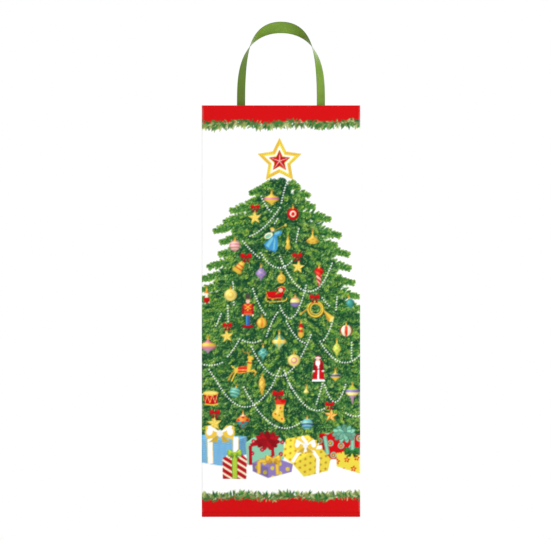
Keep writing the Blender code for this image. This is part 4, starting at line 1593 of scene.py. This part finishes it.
@dataclass(frozen=True)
class PaperSheet:
    """A closed sheet of paper made from its printed face.

    outer is the printed face as a grid (rows, columns, 3), rows running up and columns to the
    right as seen from outside. The back is the lowest and highest rows moved inwards by the
    paper's thickness, and four narrow edges close the sheet.
    """

    name: str
    outer: Array
    inward: Array
    u: Array
    crease: Array
    looped: bool = False

    def build(self, sheet: PrintSheet, finishes: Finishes) -> Piece:
        """Builds the mesh, reads the print onto its face and dresses it.

        Args:
            sheet: The print.
            finishes: The finishes; the face is laminated and the rest is bare paper.

        Returns:
            The finished piece.
        """
        rows, columns = self.outer.shape[:2]
        face_points = self.outer.reshape(-1, 3)
        back = np.concatenate([self.outer[0] + self.inward * PAPER, self.outer[-1] + self.inward * PAPER])
        count = len(face_points)
        low, high = count, count + columns
        face = grid_faces(rows, columns, 0, self.looped)
        c = np.arange(columns if self.looped else columns - 1)
        right = (c + 1) % columns
        top = (rows - 1) * columns
        rest = [
            np.column_stack([low + right, low + c, high + c, high + right]),
            np.column_stack([low + c, low + right, right, c]),
            np.column_stack([top + c, top + right, high + right, high + c]),
        ]
        fans = []
        if not self.looped:
            r = np.arange(rows - 1) * columns
            last = columns - 1
            start = np.full(rows - 1, low)
            end = np.full(rows - 1, low + last)
            fans = [
                np.column_stack([start, r, r + columns]),
                np.array([[low, top, high]]),
                np.column_stack([end, r + last + columns, r + last]),
                np.array([[low + last, high + last, top + last]]),
            ]
        piece = make_mesh(self.name, np.concatenate([face_points, back]), [face, *rest, *fans])
        self.dress(piece, sheet, finishes, len(face))
        return piece

    def dress(self, piece: Piece, sheet: PrintSheet, finishes: Finishes, printed: int) -> None:
        """Gives the first faces the print and the rest bare paper, and smooths the printed face.

        Args:
            piece: The sheet's object.
            sheet: The print.
            finishes: The finishes.
            printed: How many faces come first.
        """
        mesh = piece.data
        mesh.materials.append(finishes.printed)
        mesh.materials.append(finishes.back)
        index = np.ones(len(mesh.polygons), np.int32)
        index[:printed] = 0
        mesh.polygons.foreach_set("material_index", index)
        mesh.polygons.foreach_set("use_smooth", index == 0)
        count = self.outer.shape[0] * self.outer.shape[1]
        ink = np.ones((len(mesh.vertices), 4), np.float32)
        ink[:count, :3] = sheet.read(self.u, self.outer[..., 2] / MM).reshape(-1, 3)
        mesh.attributes.new("print", "FLOAT_COLOR", "POINT").data.foreach_set("color", ink.ravel())
        worn = np.zeros(len(mesh.vertices), np.float32)
        worn[:count] = self.crease.ravel()
        mesh.attributes.new("crease", "FLOAT", "POINT").data.foreach_set("value", worn)


def spread(start: float, end: float, step: float) -> Array:
    """Even places from start to end, about a step apart."""
    return np.linspace(start, end, max(2, math.ceil(abs(end - start) / step) + 1))


@dataclass(frozen=True)
class BentRun:
    """A level line round the outside of the bag, seen from above, with its distance along."""

    points: Array
    inward: Array
    along: Array

    @classmethod
    def through(cls, corners: Sequence[Point], radius: float, step: float) -> "BentRun":
        """Runs straight between corners and round each by a quarter circle.

        Args:
            corners: The line's corners, at right angles, outside on the right of the way.
            radius: The radius of the bends.
            step: The distance between points on the straights.

        Returns:
            The line, with inward normals on the left of the way.
        """
        corners = [np.array(corner, float) for corner in corners]
        points, inward = [], []
        for number, (a, b) in enumerate(zip(corners, corners[1:])):
            way = (b - a) / np.linalg.norm(b - a)
            left = np.array([-way[1], way[0]])
            start = radius if number else 0.0
            end = radius if number < len(corners) - 2 else 0.0
            places = spread(start, float(np.linalg.norm(b - a)) - end, step)
            points.append(a + way * places[:, None])
            inward.append(np.repeat(left[None], len(places), axis=0))
            if end:
                after = (corners[number + 2] - b) / np.linalg.norm(corners[number + 2] - b)
                middle = b - way * radius + after * radius
                angle = np.radians(np.arange(15.0, 90.0, 15.0))[:, None]
                out = -after * np.cos(angle) + way * np.sin(angle)
                points.append(middle + out * radius)
                inward.append(-out)
        line = np.concatenate(points)
        return cls(line, np.concatenate(inward), distance_along(line))

    def grid(self, heights: Array) -> Array:
        """The line lifted to each height: a grid (rows, columns, 3)."""
        flat = np.broadcast_to(self.points, (len(heights),) + self.points.shape)
        z = np.broadcast_to(heights[:, None, None], flat.shape[:2] + (1,))
        return np.concatenate([flat, z], axis=2)

    def level_inward(self) -> Array:
        """The inward normals as level vectors in space."""
        return np.column_stack([self.inward, np.zeros(len(self.inward))])


def wear_near(distance: Array, reach: float = 0.0012) -> Array:
    """How worn a place is, by its distance from a crease: 1 on it, 0 beyond the reach."""
    return np.clip(1.0 - np.abs(distance) / reach, 0.0, 1.0)


@dataclass
class Walls:
    """The upright paper: front and back panels, gusset halves and the foot's pieces."""

    sheet: PrintSheet
    finishes: Finishes
    crown: float = 0.0005

    def wall(self, name: str, facing: int, bottom: float, ends: float, top: float) -> Piece:
        """Builds a front or back wall with its two rounded creases and narrow returns.

        The plan is three straights joined by quarter circles; the face bows outwards by the
        crown times (1 - (x / half width) squared) times a sine of the height.

        Args:
            name: The piece's name.
            facing: -1 for a wall towards the front, 1 for one towards the back.
            bottom: Its lowest height.
            ends: How far from the bag's middle the returns end.
            top: Its highest height.

        Returns:
            The piece.
        """
        corners = ((-HALF_W, -ends), (-HALF_W, -HALF_D), (HALF_W, -HALF_D), (HALF_W, -ends))
        run = BentRun.through(corners, CREASE_RADIUS, PRINT_STEP)
        heights = spread(bottom, top, PRINT_STEP)
        outer = run.grid(heights)
        x, z = outer[..., 0], outer[..., 2]
        share = (z - bottom) / (top - bottom)
        bow = np.clip(1 - (x / (HALF_W - CREASE_RADIUS)) ** 2, 0, 1) * np.sin(math.pi * share)
        outer[..., 1] -= self.crown * bow
        away = run.along - run.along[-1] / 2
        reach = TURN_U * MM - (ends - RETURN_END)
        u = np.broadcast_to(away / (run.along[-1] / 2) * reach / MM, x.shape)
        corner = TURN_U * MM - (HALF_D - RETURN_END)
        crease = wear_near(np.abs(u) * MM - corner)
        inward = run.level_inward()
        if facing > 0:
            outer = outer * (-1, -1, 1)
            inward = inward * (-1, -1, 1)
        return PaperSheet(name, outer, inward, u, crease).build(self.sheet, self.finishes)

    def side(
        self,
        name: str,
        sign: int,
        reach: tuple[float, float],
        floor: Array,
        ceiling: Array | None = None,
        fine_end: bool = True,
    ) -> Piece:
        """Builds a flat piece of a side, between a lower and an upper edge that vary with y.

        Args:
            name: The piece's name.
            sign: -1 for the left side, 1 for the right.
            reach: Its lowest and highest y.
            floor: Points (y, z) of its lower edge.
            ceiling: Points (y, z) of its upper edge; the mouth if left out.
            fine_end: Whether to set extra columns near the corner crease.

        Returns:
            The piece.
        """
        y = spread(reach[0], reach[1], PRINT_STEP)
        if fine_end:
            corner = reach[0] if abs(reach[0]) > abs(reach[1]) else reach[1]
            extra = corner - math.copysign(1.0, corner) * np.linspace(0.0002, 0.0018, 7)
            y = np.unique(np.concatenate([y, extra]))
        low = np.interp(y, floor[:, 0], floor[:, 1])
        high = np.full_like(y, HEIGHT) if ceiling is None else np.interp(y, ceiling[:, 0], ceiling[:, 1])
        rows = max(2, math.ceil(float((high - low).max()) / PRINT_STEP) + 1)
        share = np.linspace(0.0, 1.0, rows)[:, None]
        z = low + (high - low) * share
        columns = y if sign > 0 else y[::-1]
        if sign < 0:
            z = z[:, ::-1]
        outer = np.stack([np.full_like(z, sign * HALF_W), np.broadcast_to(columns, z.shape), z], axis=2)
        inward = np.tile([-float(sign), 0.0, 0.0], (len(y), 1))
        stretch = (TILE / 2 - TURN_U) * MM / RETURN_END
        depth = np.abs(outer[..., 1])
        u = (TILE / 2 - depth / MM * stretch) * sign * np.where(outer[..., 1] > 0, -1.0, 1.0)
        crease = np.maximum(wear_near(depth), wear_near(z + depth - FOOT_CREASE))
        return PaperSheet(name, outer, inward, u, crease).build(self.sheet, self.finishes)

    def build(self) -> None:
        """Builds every wall and puts each on its body."""
        front = self.wall("front_wall", -1, TRAY_END, RETURN_END, HEIGHT)
        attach(front, "front")
        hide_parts("front_panel")
        back = self.wall("back_wall", 1, FOOT_CREASE, RETURN_END, HEIGHT)
        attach(back, "back")
        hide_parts("back_panel")
        foot = self.wall("back_foot_wall", 1, TRAY_END, HALF_D - CREASE_RADIUS, FOOT_CREASE)
        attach(foot, "back_foot")
        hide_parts("back_foot")
        for side, sign in (("left", -1), ("right", 1)):
            self.build_side(side, sign)

    def build_side(self, side: str, sign: int) -> None:
        """Builds one side's gusset halves and foot triangles.

        Args:
            side: "left" or "right".
            sign: -1 or 1.
        """
        tray_front = HALF_D - TRAY_SIDE
        level = np.array([[0.0, FOOT_CREASE], [1.0, FOOT_CREASE]])
        peak = np.array([[-tray_front, TRAY_SIDE], [0.0, FOOT_CREASE], [tray_front, TRAY_SIDE]])
        front = self.side(f"{side}_front_gusset_sheet", sign, (-RETURN_END, 0.0), peak)
        rear = self.side(f"{side}_rear_gusset_sheet", sign, (0.0, RETURN_END), level)
        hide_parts(f"{side}_front_gusset")
        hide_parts(f"{side}_rear_gusset")
        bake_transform(rear)
        if side == "right":
            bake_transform(front)
        else:
            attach(front, "left_front_gusset")
        edge = 0.0002
        reach = (-tray_front + edge, tray_front - edge)
        base = self.side(f"{side}_base_tuck", sign, reach, peak[::2], peak, False)
        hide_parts(f"{side}_base_triangle")
        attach(base, f"{side}_base_triangle")
        slope = np.array([[0.0, FOOT_CREASE], [HALF_D - TRAY_END, TRAY_END], [1.0, TRAY_END]])
        reach = (edge, HALF_D - CREASE_RADIUS)
        rear_low = self.side(f"{side}_rear_tuck", sign, reach, slope, level, False)
        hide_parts(f"{side}_rear_triangle")
        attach(rear_low, f"{side}_rear_triangle")


@dataclass
class Tray:
    """The red foot that the bag stands on: a low wall round it and two lapped bottom sheets."""

    sheet: PrintSheet
    finishes: Finishes
    fold: float = 0.0005
    lap: float = 0.010
    step: float = 0.0003

    def build(self) -> None:
        """Builds the low wall and both bottom sheets, and puts them on the base."""
        rim = self.rim()
        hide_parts("left_bottom_flap", "right_bottom_flap")
        front = self.bottom("front_bottom_sheet", ((-HALF_D + self.fold, 0.0), (self.lap, 0.0)))
        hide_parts("front_bottom_flap")
        over, climb = PAPER + 0.0001, self.lap + 0.001
        profile = ((-self.lap, over), (self.lap, over), (climb, 0.0), (HALF_D - self.fold, 0.0))
        back = self.bottom("back_bottom_sheet", profile)
        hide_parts("back_bottom_flap")
        for piece in (rim, front, back):
            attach(piece, "base")

    def rim(self) -> Piece:
        """Carries a profile round the plan: up the wall from a rounded edge under the bag."""
        signs = ((0, -1), (1, -1), (1, 1), (-1, 1), (-1, -1), (0, -1))
        corners = [(a * HALF_W, b * HALF_D) for a, b in signs]
        run = BentRun.through(corners, CREASE_RADIUS, self.step)
        line, normals = run.points[:-1], run.inward[:-1]
        y = line[:, 1]
        on_side = np.abs(line[:, 0]) > HALF_W - CREASE_RADIUS * 0.7
        rear = np.interp(y, [HALF_D - TRAY_END - self.step, HALF_D - TRAY_END], [TRAY_SIDE, TRAY_END])
        front = np.interp(y, [-RETURN_END - 0.0001, -RETURN_END], [TRAY_END, TRAY_SIDE])
        high = np.where(on_side, np.where(y > 0, rear, front), TRAY_END)
        angle = np.linspace(math.pi / 2, 0.0, 5)[:-1]
        climb = np.linspace(0.0, 1.0, 3)
        inset = np.concatenate([self.fold * (1 - np.cos(angle)), np.zeros(len(climb))])
        rise = np.concatenate([self.fold * (1 - np.sin(angle)), np.full(len(climb), self.fold)])
        share = np.concatenate([np.zeros(len(angle)), climb])
        z = rise[:, None] + (high - self.fold) * share[:, None]
        flat = line + normals * inset[:, None, None]
        outer = np.concatenate([flat, z[..., None]], axis=2)
        u = np.broadcast_to(run.along[:-1] / MM, z.shape)
        piece = PaperSheet("tray_rim", outer, run.level_inward()[:-1], u, np.zeros_like(z), looped=True)
        return piece.build(self.sheet, self.finishes)

    def bottom(self, name: str, profile: Sequence[Point]) -> Piece:
        """Carries a line in y and z across the bag's width as a thin sheet.

        Args:
            name: The piece's name.
            profile: The line's points (y, z).

        Returns:
            The piece.
        """
        half = HALF_W - self.fold
        line = np.array(profile)
        low = np.array([[(x, y, z) for y, z in line] for x in (-half, half)])
        top = low + (0, 0, PAPER)
        count = len(line)
        points = np.concatenate([low.reshape(-1, 3), top.reshape(-1, 3)])
        near = np.arange(count - 1)
        far, lid, last = near + count, 2 * count, count - 1
        under = np.column_stack([near, near + 1, far + 1, far])
        over = np.column_stack([near, far, far + 1, near + 1]) + lid
        left = np.column_stack([near, near + lid, near + lid + 1, near + 1])
        right = np.column_stack([far, far + 1, far + lid + 1, far + lid])
        first_end = [0, count, count + lid, lid]
        last_end = [last, last + lid, last + lid + count, last + count]
        ends = np.array([first_end, last_end])
        piece = make_mesh(name, points, [under, over, left, right, ends])
        piece.data.materials.append(self.finishes.red)
        return piece


@dataclass
class RibbonHandle:
    """One ribbon: an end glued behind the wall, a tall loop that turns over, and the other end."""

    width: float = 0.0095
    thickness: float = 0.0004
    half_span: float = 0.032
    rise: float = 0.0622
    span_power: float = 2.2
    rise_power: float = 3.0
    tail: float = 0.012
    tail_twist: float = -88.0
    edge_twist: float = -43.0
    top_twist: float = 75.0
    twist_delay: float = 1.8
    stand_off: float = 0.0022
    stations: int = 220
    section: int = 13

    def middle_line(self) -> Array:
        """The ribbon's middle line: (x, height over the mouth), from one end to the other.

        The loop is a superellipse, (|x| / half span) ^ a + (height / rise) ^ b = 1, and the
        ends go straight down from it.
        """
        angle = np.linspace(0.0, math.pi, 4001)
        cosine = np.cos(angle)
        x = -self.half_span * np.sign(cosine) * np.abs(cosine) ** (2 / self.span_power)
        height = self.rise * np.abs(np.sin(angle)) ** (2 / self.rise_power) + 0.0003
        down = np.linspace(-self.tail, 0.0, 40)
        ends = np.full(len(down), self.half_span)
        x = np.concatenate([-ends, x, ends])
        height = np.concatenate([down, height, down[::-1]])
        line = np.column_stack([x, height])
        gaps = distance_along(line)
        keep = np.concatenate([[True], np.diff(gaps) > 1e-9])
        even = np.linspace(0.0, gaps[-1], self.stations)
        return np.column_stack([np.interp(even, gaps[keep], line[keep, k]) for k in (0, 1)])

    def twist(self, height: Array, share: Array) -> Array:
        """How far the ribbon has turned, in radians: steadily up the ends, smoothly over the loop."""
        low = np.interp(height, [-self.tail, 0.0], [self.tail_twist, self.edge_twist])
        late = share**self.twist_delay
        smooth = late**2 * (3 - 2 * late)
        high = self.edge_twist + (self.top_twist - self.edge_twist) * smooth
        return np.radians(np.where(height < 0, low, high))

    def build(self, side: str, facing: int, finishes: Finishes) -> Piece:
        """Carries a thin rounded section along the line, turned by the twist.

        Args:
            side: "front" or "back".
            facing: -1 or 1.
            finishes: The finishes.

        Returns:
            The ribbon.
        """
        line = self.middle_line()
        x, height = line.T
        run = np.gradient(line, axis=0)
        run /= np.hypot(*run.T)[:, None]
        out = np.column_stack([-run[:, 1], np.zeros(len(x)), run[:, 0]])
        gaps = distance_along(line)
        half = self.stations // 2
        first = np.interp(0.0, height[:half], gaps[:half])
        last = gaps[-1] - first
        share = np.clip(1 - np.abs((gaps - first) / (last - first) * 2 - 1), 0.0, 1.0)
        twist = self.twist(height, share)
        forward = np.array([0.0, 1.0, 0.0])
        wide = out * np.sin(twist)[:, None] + forward * np.cos(twist)[:, None]
        along = np.column_stack([run[:, 0], np.zeros(len(x)), run[:, 1]])
        thick = np.cross(along, wide)
        inner = HALF_D - self.stand_off - self.thickness / 2
        edge_line = inner - self.width / 2 * math.cos(math.radians(self.edge_twist))
        y = np.where(height < 0, inner - self.width / 2 * np.cos(twist), edge_line)
        centre = np.column_stack([x, y, HEIGHT + height])
        across = np.sin(np.linspace(-math.pi / 2, math.pi / 2, self.section))
        depth = np.sqrt(1 - across**8) * 0.8 + 0.2
        ring_wide = np.concatenate([across, across[::-1]]) * self.width / 2
        ring_deep = np.concatenate([depth, -depth[::-1]]) * self.thickness / 2
        points = centre[:, None] + wide[:, None] * ring_wide[:, None] + thick[:, None] * ring_deep[:, None]
        points[..., 1] *= facing
        return self.dress(f"{side}_ribbon", facing, points, gaps, ring_wide / self.width + 0.5, finishes)

    def dress(
        self,
        name: str,
        facing: int,
        points: Array,
        gaps: Array,
        across: Array,
        finishes: Finishes,
    ) -> Piece:
        """Joins the rings into a closed ribbon with its own weave map.

        Args:
            name: The piece's name.
            facing: -1 or 1.
            points: The rings (stations, points round the section, 3).
            gaps: How far along the ribbon each ring lies.
            across: How far across it each point of a ring lies, from 0 to 1.
            finishes: The finishes.

        Returns:
            The ribbon.
        """
        stations, around = points.shape[:2]
        faces = grid_faces(stations, around, 0, True)
        caps = np.array([np.arange(around)[::-1], (stations - 1) * around + np.arange(around)])
        if facing > 0:
            faces, caps = faces[:, ::-1], caps[:, ::-1]
        piece = make_mesh(name, points.reshape(-1, 3), [faces, caps])
        mesh = piece.data
        mesh.materials.append(finishes.ribbon)
        mesh.polygons.foreach_set("use_smooth", np.ones(len(mesh.polygons), bool))
        corner = np.zeros(len(mesh.loops), np.int32)
        mesh.loops.foreach_get("vertex_index", corner)
        place = np.column_stack([gaps[corner // around], across[corner % around]])
        mesh.uv_layers.new(name="weave").data.foreach_set("uv", place.astype(np.float32).ravel())
        side = name.split("_")[0]
        nodes = [f"{side}_ribbon_handle", f"{side}_ribbon_end_left", f"{side}_ribbon_end_right"]
        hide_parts(*nodes)
        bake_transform(piece)
        LOG.info("ribbon: %s, %.0f mm long", name, gaps[-1] / MM)
        return piece


class InnerParts:
    """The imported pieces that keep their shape: hems, boards, the base card and the seam tab."""

    def __init__(self, finishes: Finishes) -> None:
        """Gives each carried-over piece its finish."""
        looks = {
            "hem_board": finishes.board,
            "base_card": finishes.board,
            "seam_tab": finishes.back,
            "hem": finishes.red,
        }
        for name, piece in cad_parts.items():
            ending = next((end for end in looks if name.endswith(end)), None)
            if ending is None or piece.hide_render:
                continue
            piece.data.materials.clear()
            piece.data.materials.append(looks[ending])
            LOG.info("inner part: %s", name)


@dataclass
class Studio:
    """A pale floor, soft light from both sides and a level camera far in front."""

    aim: Point = (-0.0044, 0.1980)
    wide: float = 0.4418
    floor_reach: float = 6.0
    floor_level: float = -0.0002
    seen_light: float = 1.0
    cast_light: float = 0.64
    target: Triple = (0, 0, 0.18)

    def lamp(self, name: str, place: Triple, size: float, power: float) -> None:
        """Hangs one soft square lamp that faces the bag.

        Args:
            name: The lamp's name.
            place: Where it hangs.
            size: The length of its side, in metres.
            power: Its power, in watts.
        """
        data = bpy.data.lights.new(name, "AREA")
        data.shape = "SQUARE"
        data.size = size
        data.energy = power
        lamp = bpy.data.objects.new(name, data)
        lamp.location = place
        lamp.rotation_euler = (Vector(self.target) - Vector(place)).to_track_quat("-Z", "Y").to_euler()
        bpy.context.scene.collection.objects.link(lamp)

    def build(self) -> None:
        """Sets up the world, lamps, floor and camera."""
        scene = bpy.context.scene
        scene.view_settings.view_transform = "Standard"
        self.world(scene)
        self.lamp("key_lamp", (1.5, -1.1, 0.4), 0.8, 18.0)
        self.lamp("fill_lamp", (-1.2, -1.2, 0.3), 1.0, 3.0)
        self.lamp("top_lamp", (0.0, 0.3, 1.7), 1.4, 6.0)
        self.lamp("rear_lamp", (0.6, 1.6, 0.7), 1.2, 8.0)
        mesh = bpy.data.meshes.new("floor")
        reach = self.floor_reach
        signs = ((-1, -1), (1, -1), (1, 1), (-1, 1))
        corners = [(a * reach, b * reach, self.floor_level) for a, b in signs]
        mesh.from_pydata(corners, [], [(0, 1, 2, 3)])
        mesh.materials.append(PaleFloor().make())
        floor = bpy.data.objects.new("floor", mesh)
        scene.collection.objects.link(floor)
        data = bpy.data.cameras.new("camera")
        data.type = "ORTHO"
        data.ortho_scale = self.wide
        camera = bpy.data.objects.new("camera", data)
        camera.location = (self.aim[0], -2.0, self.aim[1])
        camera.rotation_euler = (math.pi / 2, 0.0, 0.0)
        scene.collection.objects.link(camera)
        scene.camera = camera

    def world(self, scene: bpy.types.Scene) -> None:
        """A bright backdrop to look at, and a dimmer even light on the bag."""
        made = bpy.data.worlds.new("studio")
        made.use_nodes = True
        nodes = Nodes(made.node_tree)
        shader = made.node_tree.nodes["Background"]
        shader.inputs["Color"].default_value = (1.0, 1.0, 1.0, 1.0)
        seen = nodes.add("ShaderNodeLightPath").outputs["Is Camera Ray"]
        extra = self.seen_light - self.cast_light
        strength = nodes.math("MULTIPLY_ADD", seen, extra, self.cast_light)
        nodes.feed(shader.inputs["Strength"], strength)
        scene.world = made


def main() -> None:
    """Builds the bag from its print to its handles, then the studio round it."""
    logging.basicConfig(level=logging.INFO, format="%(name)s: %(message)s")
    finishes = Finishes()
    sheet = ChristmasPrint().make()
    LOG.info("print: %d by %d dots", sheet.COLUMNS, sheet.ROWS)
    Walls(sheet, finishes).build()
    Tray(sheet, finishes).build()
    for side, facing in (("front", -1), ("back", 1)):
        RibbonHandle().build(side, facing, finishes)
    InnerParts(finishes)
    Studio().build()


if __name__ == "__main__":
    main()
